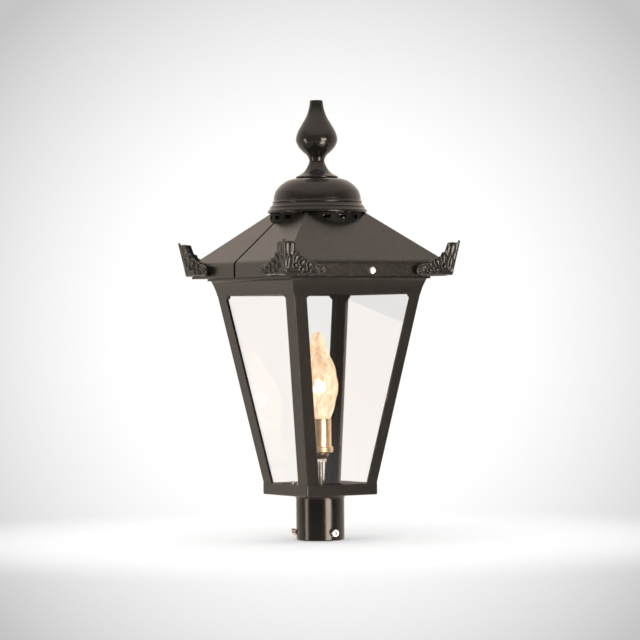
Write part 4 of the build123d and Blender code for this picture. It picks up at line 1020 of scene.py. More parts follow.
@dataclass
class PostSocket:
    """Tube over the post, with its stop shelf, flared top and square flange."""

    bolts: SetBolts
    bore: float = frame["record"]["mounts"][0]["dims"]["r_mm"]
    depth: float = frame["record"]["mounts"][0]["dims"]["length_mm"]
    wall: float = 3.5
    hole: float = 30.0
    flare: float = 8.5
    under: float = lowest("socket_flange").z
    top: float = highest("socket_flange").z
    lip: float = 3.0
    ease: float = 0.5
    bolt_clearance: float = 0.06
    drill: float = 16.0

    @property
    def radius(self) -> float:
        """The tube's outside radius."""
        return self.bore + self.wall

    def bore_bolts(self, holder: bpy.types.Object) -> list[bpy.types.Object]:
        """Cuts the set bolts' holes through the wall.

        Args:
            holder: The object that holds the tube.

        Returns:
            The drills.
        """
        bm = bmesh.new()
        size = self.bolts.shank_radius + self.bolt_clearance
        for angle in self.bolts.angles:
            spot = self.bolts.stance(angle) @ Matrix.Translation((0, 0, self.radius))
            bmesh.ops.create_cone(bm, cap_ends=True, segments=48, radius1=size, radius2=size,
                                  depth=self.drill, matrix=spot)
        bmesh.ops.scale(bm, vec=(MM,) * 3, verts=bm.verts)
        mesh = bpy.data.meshes.new("bolt_drills")
        bm.to_mesh(mesh)
        bm.free()
        drills = bpy.data.objects.new("bolt_drills", mesh)
        cut = holder.modifiers.new("bolt_holes", "BOOLEAN")
        cut.operation, cut.solver, cut.object = "DIFFERENCE", "EXACT", drills
        return [drills]

    def tube(self, bench: Bench) -> bpy.types.Object:
        """The turned tube, its lip rounded and its shelf's edges eased.

        Args:
            bench: The bench that makes and places it.

        Returns:
            The piece.
        """
        ease, reach = self.ease, self.radius + self.flare
        line = Outline(self.bore, ease)
        line.to((self.bore, self.depth), (self.hole + ease, self.depth),
                (self.hole, self.depth + ease), (self.hole, self.top - ease),
                (self.hole + ease, self.top), (reach, self.top), (reach, self.under))
        line.arc((reach, self.under - self.flare), 180.0, 12)
        line.to((self.radius, self.lip))
        line.arc((self.radius - self.lip, self.lip), -90.0, 8)
        line.to((self.bore + ease, 0.0))
        turned = bench.worked(bench.spun(line, 128, closed=True), self.bore_bolts)
        # The tube's coat is lighter than the sheet's, and that extra lightness is painted light.
        return bench.place(turned, "socket_tube", Finishes.TURNED, "post_socket", sharp=40.0)

    def build(self, bench: Bench) -> None:
        """Makes the tube and the flange.

        Args:
            bench: The bench that makes and places them.
        """
        self.tube(bench)
        bench.place(bench.rounded("socket_flange", self.ease), "socket_flange_plate",
                    Finishes.FRAME, "socket_flange", weighted=True)


@dataclass
class Body:
    """Rail, corner posts, panes, beads and cornice."""

    corners: tuple[str, ...] = ("front", "right", "rear", "left")
    ease: float = 0.5
    rail_ease: float = 0.6
    foot_half: float = 72.0
    foot: float = highest("bottom_frame").z
    flare: float = 0.1724
    leg_from: float = 14.0
    leg_wider: float = 5.2

    def post(self, bench: Bench, corner: str) -> None:
        """Places one corner bar. The front one's right leg is a little wider.

        Args:
            bench: The bench that makes and places it.
            corner: The bar's corner.
        """
        bm = bench.rounded(f"corner_post_{corner}", self.ease)
        if corner == "front":
            for vert in bm.verts:
                half = self.foot_half + self.flare * (vert.co.z - self.foot)
                if vert.co.x + half > self.leg_from:
                    vert.co.x += self.leg_wider
        bench.place(bm, f"corner_bar_{corner}", Finishes.FRAME, f"corner_post_{corner}",
                    weighted=True)

    def build(self, bench: Bench) -> None:
        """Eases the frame's edges and dresses what stays as it is.

        Args:
            bench: The bench that makes, places and dresses the pieces.
        """
        bench.place(bench.rounded("bottom_frame", self.rail_ease), "bottom_rail", Finishes.FRAME,
                    "bottom_frame", weighted=True)
        bench.place(bench.rounded("top_frame", self.ease), "cove_cornice", Finishes.FRAME,
                    "top_frame", weighted=True)
        for corner in self.corners:
            self.post(bench, corner)
            bench.dress(Finishes.PANE, f"glass_pane_{corner}")
        bench.dress(Finishes.FRAME, "glazing_beads", "base_plate")
        bench.dress(Finishes.ZINC, "socket_screws", "socket_nuts", "base_screws", "frame_screws",
                    "earth_stud", "terminal_screws")
        bench.dress(Finishes.RUBBER, "cable_grommet")
        bench.dress(Finishes.POLYAMIDE, "terminal_block")


@dataclass
class Roof:
    """Hipped sheet, soffit, seam strip, hinge and catch."""

    ease: float = 0.8
    hinge_ease: float = 0.3
    seam_side: float = -70.0
    seam_at: float = (lowest("roof_seam_strip").y + highest("roof_seam_strip").y) / 2
    seam_reach: float = 2.6
    seam_wider: float = 1.5
    catch_radius: float = 3.0
    catch_head: float = 6.0
    catch_height: float = 5.0
    catch_pitch: float = 1.25
    catch_root: float = 0.35
    catch_x: float = (lowest("catch_screw").x + highest("catch_screw").x) / 2
    catch_z: float = lowest("catch_screw").z + catch_head
    catch_tip: float = -highest("catch_screw").y
    catch_seat: float = -lowest("catch_screw").y - catch_height

    def catch_screw(self, bench: Bench) -> bpy.types.Object:
        """Screw with a polished domed head, threaded along its shank.

        Args:
            bench: The bench that makes and places it.

        Returns:
            The piece.
        """
        tip, seat, r, head = self.catch_tip, self.catch_seat, self.catch_radius, self.catch_head
        line = Outline(0.0, tip).to((r - 0.6, tip))
        for turn in range(int((seat - tip - 2.0) / self.catch_pitch)):
            root = tip + 0.8 + turn * self.catch_pitch
            line.to((r - self.catch_root, root), (r, root + 0.6 * self.catch_pitch))
        line.to((r, seat), (head - 0.5, seat))
        line.through([(head, seat + 0.9), (head - 1.3, seat + 3.7),
                      (0.0, seat + self.catch_height)], (1, 0.2), (-1, 0), 8)
        bm = bench.spun(line, 48)
        turn = Matrix.Rotation(math.pi / 2, 4, "X")
        spot = Matrix.Translation((self.catch_x, 0, self.catch_z))
        bmesh.ops.transform(bm, matrix=spot @ turn, verts=bm.verts)
        return bench.place(bm, "catch_screw_domed", Finishes.DOMED, "catch_screw")

    def sheet(self, bench: Bench) -> bpy.types.Object:
        """The folded sheet, its open seam a little wider.

        Args:
            bench: The bench that makes and places it.

        Returns:
            The piece.
        """
        bm = bench.rounded("roof_shell", self.ease)
        for vert in bm.verts:
            off = vert.co.y - self.seam_at
            if vert.co.x < self.seam_side and abs(off) < self.seam_reach:
                vert.co.y += math.copysign(self.seam_wider, off)
        return bench.place(bm, "hipped_sheet", Finishes.SHEET, "roof_shell", weighted=True)

    def build(self, bench: Bench) -> None:
        """Makes the sheet, the hinge and the catch, and dresses the rest.

        Args:
            bench: The bench that makes, places and dresses the pieces.
        """
        self.sheet(bench)
        for node, name in (("hinge_brackets", "hinge_straps"), ("hinge_leaves", "hinge_plates")):
            bench.place(bench.rounded(node, self.hinge_ease), name, Finishes.FRAME, node,
                        weighted=True)
        self.catch_screw(bench)
        bench.dress(Finishes.SHEET, "roof_soffit")
        # The seam strip's near-black coat is painted shade for the shadow in the seam's gap.
        bench.dress(Finishes.PAINTED_SHADE, "roof_seam_strip")
        bench.dress(Finishes.FRAME, "leaf_rivets")
        bench.dress(Finishes.ZINC, "crest_screws", "hinge_screws", "hinge_pins", "catch_nut")


@dataclass(frozen=True)
class Lobe:
    """One rounded lobe of a crest's leaf: u runs along the eaves and v climbs its leaning plane."""

    u: float
    v: float
    length: float
    width: float
    turn: float
    lift: float = 0.0
    swell: float = 3.4


@dataclass(frozen=True)
class Rod:
    """One tapered rod of a crest's leaf, between two points of its leaning plane."""

    start: Place
    end: Place
    start_radius: float
    end_radius: float


@dataclass
class Crests:
    """Four cast leaf ornaments that stand on the roof's corners."""

    out: float = 8.0
    half: float = highest("roof_shell").x + out
    foot: float = lowest("corner_crest_rear").z
    lean: float = 0.17
    back: float = -4.6
    face: float = -0.6
    raise_left: float = 3.2
    voxel: float = 0.75
    soften: int = 5
    taper: float = 0.25
    eave: float = highest("roof_shell").x - 0.16
    pad: float = 14.0
    pad_front: float = half - 1.41
    screw_at: float = 58.0
    scroll: Point = (70.0, 9.6)
    scroll_radius: float = 6.3
    scroll_wire: float = 2.5
    outline: tuple[Point, ...] = (
        (0.0, 0.0), (0.0, 60.2), (1.2, 60.2), (4.0, 54.6), (6.5, 56.6), (15.0, 57.2),
        (23.6, 55.8), (24.8, 46.0), (25.6, 40.2), (31.0, 39.0), (32.2, 32.6), (39.5, 30.6),
        (42.0, 26.0), (51.0, 25.0), (55.0, 20.6), (64.0, 19.6), (73.0, 16.5), (76.5, 9.0),
        (72.0, 0.8))
    lobes: tuple[Lobe, ...] = (
        Lobe(9.6, 44.0, 12.0, 4.8, 88.0, -2.0, 2.5), Lobe(19.0, 43.6, 12.0, 5.2, 82.0, -1.9, 2.8),
        Lobe(9.0, 22.0, 13.0, 5.0, 80.0, -1.1, 3.1), Lobe(25.0, 29.0, 10.6, 5.2, 60.0, -1.2, 3.5),
        Lobe(21.8, 16.6, 5.0, 4.6, 40.0, 1.2, 3.0), Lobe(37.0, 22.6, 9.4, 5.0, 42.0, -0.2, 4.0),
        Lobe(50.5, 18.4, 7.6, 4.4, 34.0, -0.2, 3.6), Lobe(61.0, 14.0, 6.0, 3.8, 24.0, -0.2, 3.2),
        Lobe(35.0, 10.0, 6.0, 4.2, 18.0, 0.4, 3.2), Lobe(49.0, 8.8, 5.0, 3.8, 8.0, 0.8, 3.2),
        Lobe(70.0, 9.6, 3.0, 3.0, 0.0, 0.8, 3.0))
    rods: tuple[Rod, ...] = (
        Rod((2.2, 1.0, -1.8), (1.6, 52.0, -2.2), 2.4, 1.5),
        Rod((1.6, 51.0, -2.2), (0.9, 60.6, -2.4), 1.6, 0.7),
        Rod((3.0, 3.2, -0.8), (34.0, 3.6, -0.4), 2.6, 2.2),
        Rod((33.0, 3.6, -0.4), (64.0, 2.6, -0.6), 2.3, 1.6))

    def leaning(self) -> Matrix:
        """The shear that takes a leaf to the rear corner.

        Returns:
            The matrix that takes (u, v, w) there: u along -X, v up, w out along +Y.
        """
        rise = 1 / math.sqrt(1 + self.lean ** 2)
        tilt = self.lean * rise
        return Matrix(((-1.0, tilt, 0.0, self.half), (0.0, tilt, rise, self.half),
                       (0.0, rise, -tilt, self.foot), (0.0, 0.0, 0.0, 1.0)))

    def plate(self, bm: bmesh.types.BMesh) -> None:
        """Adds the leaf's flat ground, extruded from its outline.

        Args:
            bm: The leaf's mesh.
        """
        face = bm.faces.new([bm.verts.new((u, v, self.back)) for u, v in self.outline])
        made = bmesh.ops.extrude_face_region(bm, geom=[face])["geom"]
        verts = [g for g in made if isinstance(g, bmesh.types.BMVert)]
        bmesh.ops.translate(bm, vec=(0, 0, self.face - self.back), verts=verts)

    def lobe(self, bm: bmesh.types.BMesh, lobe: Lobe) -> None:
        """Adds one lobe: a lens whose far end is drawn out to a point.

        Args:
            bm: The leaf's mesh.
            lobe: The lobe.
        """
        turn = Matrix.Rotation(math.radians(lobe.turn), 4, "Z")
        size = Matrix.Diagonal((lobe.length, lobe.width, lobe.swell, 1.0))
        verts = bmesh.ops.create_uvsphere(bm, u_segments=20, v_segments=12, radius=1.0)["verts"]
        for vert in verts:
            vert.co.y *= 1.0 - self.taper * vert.co.x
        place = Matrix.Translation((lobe.u, lobe.v, lobe.lift)) @ turn @ size
        bmesh.ops.transform(bm, matrix=place, verts=verts)

    def rod(self, bm: bmesh.types.BMesh, rod: Rod) -> None:
        """Adds one rod.

        Args:
            bm: The leaf's mesh.
            rod: The rod.
        """
        start, end = Vector(rod.start), Vector(rod.end)
        along = end - start
        turn = along.to_track_quat("Z", "Y").to_matrix().to_4x4()
        bmesh.ops.create_cone(bm, cap_ends=True, segments=16, radius1=rod.start_radius,
                              radius2=rod.end_radius, depth=along.length,
                              matrix=Matrix.Translation((start + end) / 2) @ turn)

    def scroll_ring(self, bm: bmesh.types.BMesh) -> None:
        """Adds the ring that ends the leaf.

        Args:
            bm: The leaf's mesh.
        """
        u, v = self.scroll
        spot = Matrix.Translation((u + self.scroll_radius, v, 0.0))
        turn = Matrix.Rotation(math.pi / 2, 4, "X")
        made = bmesh.ops.create_circle(bm, cap_ends=False, segments=12, radius=self.scroll_wire,
                                       matrix=spot @ turn)["verts"]
        edges = list({e for vert in made for e in vert.link_edges})
        bmesh.ops.spin(bm, geom=list(made) + edges, cent=(u, v, 0), axis=(0, 0, 1),
                       angle=math.tau, steps=28, use_merge=True)

    def leaf(self) -> bmesh.types.BMesh:
        """One leaf in its leaning plane.

        Returns:
            Its overlapping shapes, in millimetres.
        """
        bm = bmesh.new()
        self.plate(bm)
        for lobe in self.lobes:
            self.lobe(bm, lobe)
        for rod in self.rods:
            self.rod(bm, rod)
        self.scroll_ring(bm)
        bmesh.ops.recalc_face_normals(bm, faces=bm.faces)
        return bm

    def melt(self, holder: bpy.types.Object) -> list[bpy.types.Object]:
        """Fuses overlapping shapes into one cast skin, and eases it.

        Args:
            holder: The object that holds the shapes.

        Returns:
            No objects, since it uses none.
        """
        fuse = holder.modifiers.new("fuse", "REMESH")
        fuse.mode, fuse.voxel_size, fuse.use_smooth_shade = "VOXEL", self.voxel * MM, True
        ease = holder.modifiers.new("ease", "SMOOTH")
        ease.factor, ease.iterations = 0.5, self.soften
        return []

    def pads(self, bm: bmesh.types.BMesh) -> None:
        """Adds the pads behind one leaf that bear on the fascia, at its screw and at the corner.

        Args:
            bm: The leaf's mesh, at the rear corner.
        """
        depth = self.pad_front - self.eave
        screw, corner = self.half - self.screw_at, (self.eave - self.pad + self.pad_front) / 2
        for middle, width in ((screw, self.pad), (corner, depth + self.pad)):
            spot = Matrix.Translation((middle, self.eave + depth / 2, self.foot + self.pad / 2))
            size = Matrix.Diagonal((width, depth, self.pad, 1.0))
            bmesh.ops.create_cube(bm, size=1.0, matrix=spot @ size)

    def corner(self, bench: Bench) -> bmesh.types.BMesh:
        """The rear corner's crest: two leaves that meet on the corner's diagonal.

        Args:
            bench: The bench that fuses them.

        Returns:
            The crest, in millimetres.
        """
        bm = self.leaf()
        bmesh.ops.transform(bm, matrix=self.leaning(), verts=bm.verts)
        self.pads(bm)
        other = bmesh.ops.duplicate(bm, geom=bm.verts[:] + bm.edges[:] + bm.faces[:])["geom"]
        swap = Matrix(((0, 1, 0, 0), (1, 0, 0, 0), (0, 0, 1, 0), (0, 0, 0, 1)))
        verts = [g for g in other if isinstance(g, bmesh.types.BMVert)]
        faces = [g for g in other if isinstance(g, bmesh.types.BMFace)]
        bmesh.ops.transform(bm, matrix=swap, verts=verts)
        bmesh.ops.reverse_faces(bm, faces=faces)
        return bench.worked(bm, self.melt)

    def build(self, bench: Bench) -> None:
        """Places one crest at each corner.

        Args:
            bench: The bench that makes and places them.
        """
        skin = self.corner(bench)
        for side in Side:
            bm = skin.copy()
            turn = Matrix.Rotation(side.value * math.pi / 2, 3, "Z")
            bmesh.ops.rotate(bm, cent=(0, 0, 0), matrix=turn, verts=bm.verts)
            lift = self.raise_left if side is Side.LEFT else 0.0
            bmesh.ops.translate(bm, vec=(0, 0, lift), verts=bm.verts)
            name = side.name.lower()
            bench.place(bm, f"cast_crest_{name}", Finishes.CASTING, f"corner_crest_{name}",
                        sharp=85.0)
        skin.free()


@dataclass
class Ventilator:
    """Scribed collar, spun dome and turned finial."""

    rim: float = highest("dome_cap").x
    base: float = lowest("dome_cap").z
    crown: float = highest("dome_cap").z
    crown_radius: float = highest("finial").x
    neck: float = rim - 10.5
    band: float = 4.5
    flare_top: float = base + 21.0
    bead: float = 4.0
    bead_out: float = 2.5
    bead_in: float = 0.2
    wall: float = 2.5
    stud: float = highest("finial_stud").x + 0.05
    stud_depth: float = 36.0
    ease: float = 0.6
    collar_ease: float = 0.3
    finial_top: float = highest("finial").z

    def dome_line(self, inset: float) -> Outline:
        """The dome's half section from its rim to its crown, moved in by an inset.

        Args:
            inset: The inset, 0 for the outer face.

        Returns:
            The open half section.
        """
        rim, neck, crown = self.rim - inset, self.neck - inset, self.crown - inset
        band, flare = self.base + self.band, self.flare_top - inset / 2
        bead = flare - self.bead
        bulge = self.bead_in if inset else self.bead_out
        line = Outline(rim, self.base).to((rim, band - 1.0))
        line.through([(rim - 0.5, band), (rim - 1.7, band + 0.8)], (0, 1), (-1, 0.7), 3)
        line.through([(rim - 3.6, band + 3.2), (rim - 4.3, band + 5.6)], (-0.7, 0.7), (0, 1), 5)
        line.through([(rim - 7.0, band + 8.6), (neck + 1.2, bead - 0.2)], (-0.1, 1), (-0.4, 1), 5)
        line.through([(neck + bulge, (bead + flare) / 2), (neck + 0.2, flare)],
                     (1, 0.8), (-1, 0.8), 5)
        line.through([(neck - 2.6, flare + 15.0), (neck - 7.2, flare + 22.2),
                      (neck - 14.2, flare + 29.2), (neck - 24.8, flare + 35.8),
                      (self.crown_radius, crown)], (0.05, 1), (-1, 0.06), 7)
        return line

    def dome(self, bench: Bench) -> bpy.types.Object:
        """The spun dome, open below and bored for its stud.

        Args:
            bench: The bench that makes and places it.

        Returns:
            The piece.
        """
        outer, inner = self.dome_line(0.0), self.dome_line(self.wall)
        outer.to((self.stud, self.crown), (self.stud, self.crown - self.wall))
        outer.points.extend(reversed(inner.points))
        # The dome's coat is lighter than the sheet's, and that extra lightness is painted light.
        return bench.place(bench.spun(outer, 128, closed=True), "spun_dome", Finishes.TURNED,
                           "dome_cap", sharp=60.0)

    def finial(self, bench: Bench) -> bpy.types.Object:
        """The turned finial, from its rounded foot disc to its flat tip.

        Args:
            bench: The bench that makes and places it.

        Returns:
            The piece.
        """
        z, top, bed = self.crown, self.finial_top, self.crown + self.stud_depth
        line = Outline(self.stud, z).to((34.6, z))
        line.through([(36.6, z + 0.8), (37.0, z + 2.0), (36.5, z + 3.3), (35.2, z + 4.1)],
                     (1, 0.1), (-1, 0.25), 4)
        line.through([(23.4, z + 11.4), (16.6, z + 21.2), (13.2, z + 31.4)], (-1, 0.40), (0, 1), 8)
        line.through([(17.0, z + 40.2), (24.6, z + 47.0), (32.2, z + 56.0), (36.3, z + 67.6)],
                     (0.10, 1), (0, 1), 7)
        line.through([(33.3, z + 80.8), (25.8, z + 94.6), (17.8, z + 108.4), (13.2, z + 122.4),
                      (11.2, top - 1.0)], (0, 1), (-0.12, 1), 7)
        line.to((10.9, top - 0.4), (10.2, top), (0.0, top), (0.0, bed),
                (self.stud - self.ease, bed), (self.stud, bed - self.ease))
        # The finial's coat is lighter than the crests', and that extra lightness is painted light.
        return bench.place(bench.spun(line, 96, closed=True), "turned_finial", Finishes.FINIAL,
                           "finial", sharp=45.0)

    def build(self, bench: Bench) -> None:
        """Makes the dome and finial, and dresses the collar and the ties in painted shade.

        Args:
            bench: The bench that makes, places and dresses the pieces.
        """
        self.dome(bench)
        self.finial(bench)
        # The collar's near-black coat is painted shade under the dome's rim.
        bench.place(bench.rounded("vent_collar", self.collar_ease), "scribed_collar",
                    Finishes.PAINTED_SHADE, "vent_collar", weighted=True)
        # The ties' darkened zinc is painted shade inside the dome.
        bench.dress(Finishes.STEM, "dome_bridge", "bridge_screws", "dome_spacer", "finial_stud",
                    "stud_nut")


@dataclass
class Lamp:
    """Flame-shaped lamp in its brass holder on a threaded stem."""

    foot: float = lowest("lamp_envelope").z
    tip: float = highest("lamp_envelope").z
    neck: float = 12.6
    glass: float = 1.4
    holder: float = lowest("holder_base").z
    base_radius: float = highest("holder_base").x
    cup_floor: float = 6.0
    bore: float = highest("lamp_stem").x + 0.05
    ring: float = lowest("shade_ring").z
    ring_radius: float = highest("shade_ring").x
    sleeve: float = lowest("holder_sleeve").z
    sleeve_top: float = highest("holder_sleeve").z
    sleeve_radius: float = highest("holder_sleeve").x
    sleeve_wall: float = 1.8
    steps: int = 72
    flutes: int = 5
    flute_depth: float = 0.9
    flute_full: float = 12.0
    twist: float = 0.030
    bend: Point = (-3.6, 2.2)
    bend_from: float = 0.55
    bend_pull: float = 5.0

    def glass_line(self) -> Outline:
        """The glass's half section, up its outer face and down its inner one.

        Returns:
            The closed half section, which touches the axis at the tip.
        """
        z = self.foot
        line = Outline(self.neck - 1.0, z).to((self.neck, z))
        line.through([(19.4, z + 19.7), (26.2, z + 39.7), (31.3, z + 62.7), (31.8, z + 84.7),
                      (28.0, z + 104.7), (20.6, z + 124.7), (14.8, z + 141.7), (11.6, z + 155.7),
                      (7.4, z + 165.7), (0.0, self.tip)], (0, 1), (-1, 0), 8)
        line.to((0.0, self.tip - self.glass))
        inner = Outline(0.0, self.tip - self.glass)
        inner.through([(9.0, z + 150.7), (25.0, z + 107.7), (29.4, z + 68.7), (17.0, z + 19.7),
                       (self.neck - 1.0, z)], (1, -0.2), (0, -1), 7)
        line.points.extend(inner.points[1:-1])
        return line

    def envelope(self, bench: Bench) -> bpy.types.Object:
        """The glass, gently fluted and twisted, its tip bent aside.

        Args:
            bench: The bench that makes and places it.

        Returns:
            The piece.
        """
        bm = bench.spun(self.glass_line(), 80, closed=True)
        for vert in bm.verts:
            rise = vert.co.z - self.foot
            share = max(0.0, min(1.0, rise / (self.tip - self.foot)))
            angle = math.atan2(vert.co.y, vert.co.x) + self.twist * rise
            wave = math.sin(self.flutes * angle) * self.flute_depth * math.sin(math.pi * share)
            reach = math.hypot(vert.co.x, vert.co.y)
            if reach > 0.5:
                vert.co.xy *= (reach + wave * min(1.0, reach / self.flute_full)) / reach
            pull = max(0.0, share - self.bend_from) ** 2 * self.bend_pull
            vert.co.xy += Vector(self.bend) * pull
        return bench.place(bm, "flame_glass", Finishes.GLOW, "lamp_envelope")

    def cup(self, bench: Bench) -> None:
        """Makes the holder's cup, on the stem.

        Args:
            bench: The bench that makes and places it.
        """
        z, top, r = self.holder, self.ring, self.base_radius
        line = Outline(self.bore, z).to((8.4, z), (9.3, z + 0.5))
        line.through([(13.6, z + 4.6), (r, top - 0.6)], (0.7, 1), (0.2, 1), 8)
        line.to((r - 0.4, top), (r - self.sleeve_wall, top), (9.6, z + self.cup_floor),
                (self.bore, z + self.cup_floor))
        bench.place(bench.spun(line, self.steps, closed=True), "holder_cup", Finishes.BRONZED,
                    "holder_base")

    def clamping_ring(self, bench: Bench) -> None:
        """Makes the waisted ring between cup and sleeve.

        Args:
            bench: The bench that makes and places it.
        """
        z, top, r = self.ring, self.sleeve, self.ring_radius
        wall = self.base_radius - self.sleeve_wall
        line = Outline(wall, z).to((r - 2.6, z))
        line.through([(r - 0.5, z + 1.4), (r, z + 3.4), (r - 0.9, z + 5.2)], (1, 0.1),
                     (-0.8, 0.6), 5)
        line.through([(r, z + 7.4), (r - 0.5, top - 1.2), (r - 2.6, top)], (0.8, 0.6),
                     (-1, 0.1), 5)
        line.to((wall, top))
        bench.place(bench.spun(line, self.steps, closed=True), "clamping_ring", Finishes.BRASS,
                    "shade_ring")

    def tube(self, bench: Bench) -> None:
        """Makes the sleeve round the lamp's cap, with a rolled rim.

        Args:
            bench: The bench that makes and places it.
        """
        roll, r, top = self.sleeve_wall / 2, self.sleeve_radius, self.sleeve_top
        line = Outline(r - 2 * roll, self.sleeve).to((r, self.sleeve), (r, top - 2 * roll))
        line.arc((r - roll, top - 2 * roll), 90.0, 6)
        line.to((r - 2 * roll, top - roll))
        bench.place(bench.spun(line, self.steps, closed=True), "holder_tube", Finishes.BRASS,
                    "holder_sleeve")

    def build(self, bench: Bench) -> None:
        """Makes the lamp and holder, and dresses their inner pieces.

        Args:
            bench: The bench that makes, places and dresses the pieces.
        """
        self.envelope(bench)
        self.cup(bench)
        self.clamping_ring(bench)
        self.tube(bench)
        bench.dress(Finishes.CAP, "lamp_cap", "lamp_filament")
        bench.dress(Finishes.MOUNT, "lamp_mount")
        bench.dress(Finishes.PORCELAIN, "holder_insert")
        bench.dress(Finishes.BRASS, "holder_contact")
        bench.dress(Finishes.STEM, "lamp_stem")
        bench.dress(Finishes.ZINC, "stem_nuts")


# ---------------------------------------------------------------- studio


@dataclass(frozen=True)
class SoftBox:
    """A soft box that shows in glossy surfaces, by angles from the camera's side.

    Angles are in degrees. Azimuth is counted to the camera's right, as seen from the lantern.
    """

    azimuth: Point
    elevation: Point
    level: float
    soft: float = 2.0


@dataclass
class Studio:
    """Camera, pale floor, world and lights. Lengths are in metres and angles in degrees."""

    azimuth: float = -32.0
    distance: float = 5.23
    eye: float = 0.365
    aim: float = 0.383
    aside: float = 0.0028
    roll: float = 0.56
    lens: float = 168.75
    sensor: float = 36.0
    clip_end: float = 60.0
    floor_radius: float = 1.15
    floor_clear: Point = (0.24, 0.95)
    floor_glow: float = 0.20
    floor_dark: Colour = (0.80, 0.80, 0.80)
    floor_pale: Colour = (0.84, 0.84, 0.84)
    floor_grain: float = 90.0
    room_level: float = 1.08
    room_turn: Point = (-0.40, 0.40)
    front_level: float = 0.20
    ground_level: float = 0.75
    ground_band: Point = (-0.62, -0.22)
    zenith_level: float = 1.10
    zenith_band: Point = (0.34, 0.66)
    warm: Colour = (1.0, 0.85, 0.72)
    fade_from: float = 0.0024
    fade_slope: float = 54.4
    edge_band: Point = (0.0105, 0.022)
    edge_level: Point = (0.56, 0.84)
    light_place: Place = (-0.9, -0.7, 2.1)
    light_aim: Place = (0.0, 0.0, 0.3)
    light_size: float = 1.6
    light_power: float = 9.0
    boxes: tuple[SoftBox, ...] = (
        SoftBox((26.0, 54.0), (-50.0, -30.0), 17.0), SoftBox((26.0, 54.0), (-24.0, 5.5), 18.0),
        SoftBox((-77.0, -61.0), (-34.0, 5.5), 8.5))

    def axes(self) -> tuple[Vector, Vector]:
        """The studio's level directions.

        Returns:
            Unit vectors from the lantern to the camera, and to the camera's right.
        """
        turn = math.radians(self.azimuth)
        back = Vector((math.sin(turn), -math.cos(turn), 0.0))
        return back, Vector((-back.y, back.x, 0.0))

    def camera(self) -> None:
        """Puts the camera at the photograph's angle."""
        back, right = self.axes()
        target = Vector((0, 0, self.aim)) + right * self.aside
        place = Vector((0, 0, self.eye)) + right * self.aside + back * self.distance
        ahead = (target - place).normalized()
        up = right.cross(ahead)
        roll = math.radians(self.roll)
        side = right * math.cos(roll) - up * math.sin(roll)
        top = up * math.cos(roll) + right * math.sin(roll)
        turn = Matrix((side, top, -ahead)).transposed().to_4x4()
        data = bpy.data.cameras.new("photo_camera")
        data.lens, data.sensor_width, data.clip_end = self.lens, self.sensor, self.clip_end
        view = bpy.data.objects.new("photo_camera", data)
        view.matrix_world = Matrix.Translation(place) @ turn
        bpy.context.scene.collection.objects.link(view)
        bpy.context.scene.camera = view
        LOG.info("camera at %s", tuple(round(x, 3) for x in place))

    def box_group(self) -> bpy.types.NodeTree:
        """A node group that masks a soft box by azimuth and elevation.

        Returns:
            The group.
        """
        tree = bpy.data.node_groups.new("soft_box", "ShaderNodeTree")
        for label in ("Azimuth", "Elevation", "Left", "Right", "Bottom", "Top", "Soft"):
            tree.interface.new_socket(label, in_out="INPUT", socket_type="NodeSocketFloat")
        tree.interface.new_socket("Mask", in_out="OUTPUT", socket_type="NodeSocketFloat")
        w = Wiring(tree)
        given, out = tree.nodes.new("NodeGroupInput"), tree.nodes.new("NodeGroupOutput")
        soft = given.outputs["Soft"]
        sides = []
        for value, start, end in (("Azimuth", "Left", "Right"), ("Elevation", "Bottom", "Top")):
            angle, first, last = (given.outputs[name] for name in (value, start, end))
            rise = w.ramp(angle, first, w.math("ADD", first, soft))
            fall = w.ramp(angle, w.math("SUBTRACT", last, soft), last, 1.0, 0.0)
            sides.append(w.math("MULTIPLY", rise, fall))
        w.feed(out.inputs["Mask"], w.math("MULTIPLY", *sides))
        return tree

    def room(self, w: Wiring, ray: bpy.types.NodeSocket) -> bpy.types.NodeSocket:
        """Level of the room round the lantern: white behind, dim in front, with a bright ceiling.

        Args:
            w: The world's wiring.
            ray: The ray's direction.

        Returns:
            The level's socket.
        """
        back, _ = self.axes()
        height = w.dot(ray, Vector((0, 0, 1)))
        walls = w.ramp(w.dot(ray, -back), *self.room_turn, self.front_level, self.room_level)
        ceiling = w.ramp(height, *self.zenith_band, 0.0, self.zenith_level)
        ground = w.ramp(height, *self.ground_band, self.ground_level, 0.0)
        return w.math("MAXIMUM", w.math("MAXIMUM", walls, ceiling), ground)

    def shine(self, w: Wiring, ray: bpy.types.NodeSocket) -> bpy.types.NodeSocket:
        """Level of all the soft boxes.

        Args:
            w: The world's wiring.
            ray: The ray's direction.

        Returns:
            The level's socket.
        """
        back, right = self.axes()
        degrees = 180.0 / math.pi
        turn = w.math("ARCTAN2", w.dot(ray, right), w.dot(ray, back))
        azimuth = w.math("MULTIPLY", turn, degrees)
        climb = w.math("ARCSINE", w.dot(ray, Vector((0, 0, 1))))
        elevation = w.math("MULTIPLY", climb, degrees)
        group = self.box_group()
        shine: object = 0.0
        for box in self.boxes:
            node = w.add("Group", "soft box")
            node.node_tree = group
            w.feed(node.inputs["Azimuth"], azimuth)
            w.feed(node.inputs["Elevation"], elevation)
            edges = (*box.azimuth, *box.elevation, box.soft)
            for label, value in zip(("Left", "Right", "Bottom", "Top", "Soft"), edges):
                node.inputs[label].default_value = value
            shine = w.math("ADD", w.math("MULTIPLY", node.outputs[0], box.level), shine)
        return shine

    def backdrop(self, w: Wiring, ray: bpy.types.NodeSocket) -> bpy.types.NodeSocket:
        """White backdrop that greys towards the picture's corners.

        Args:
            w: The world's wiring.
            ray: The ray's direction.

        Returns:
            The level's socket.
        """
        back, _ = self.axes()
        off = w.math("SUBTRACT", 1.0, w.dot(ray, -back))
        past = w.math("SUBTRACT", off, self.fade_from)
        fade = w.math("SUBTRACT", 1.0, w.math("MULTIPLY", self.fade_slope, past), clamp=True)
        return w.math("MAXIMUM", fade, w.ramp(off, *self.edge_band, *self.edge_level))

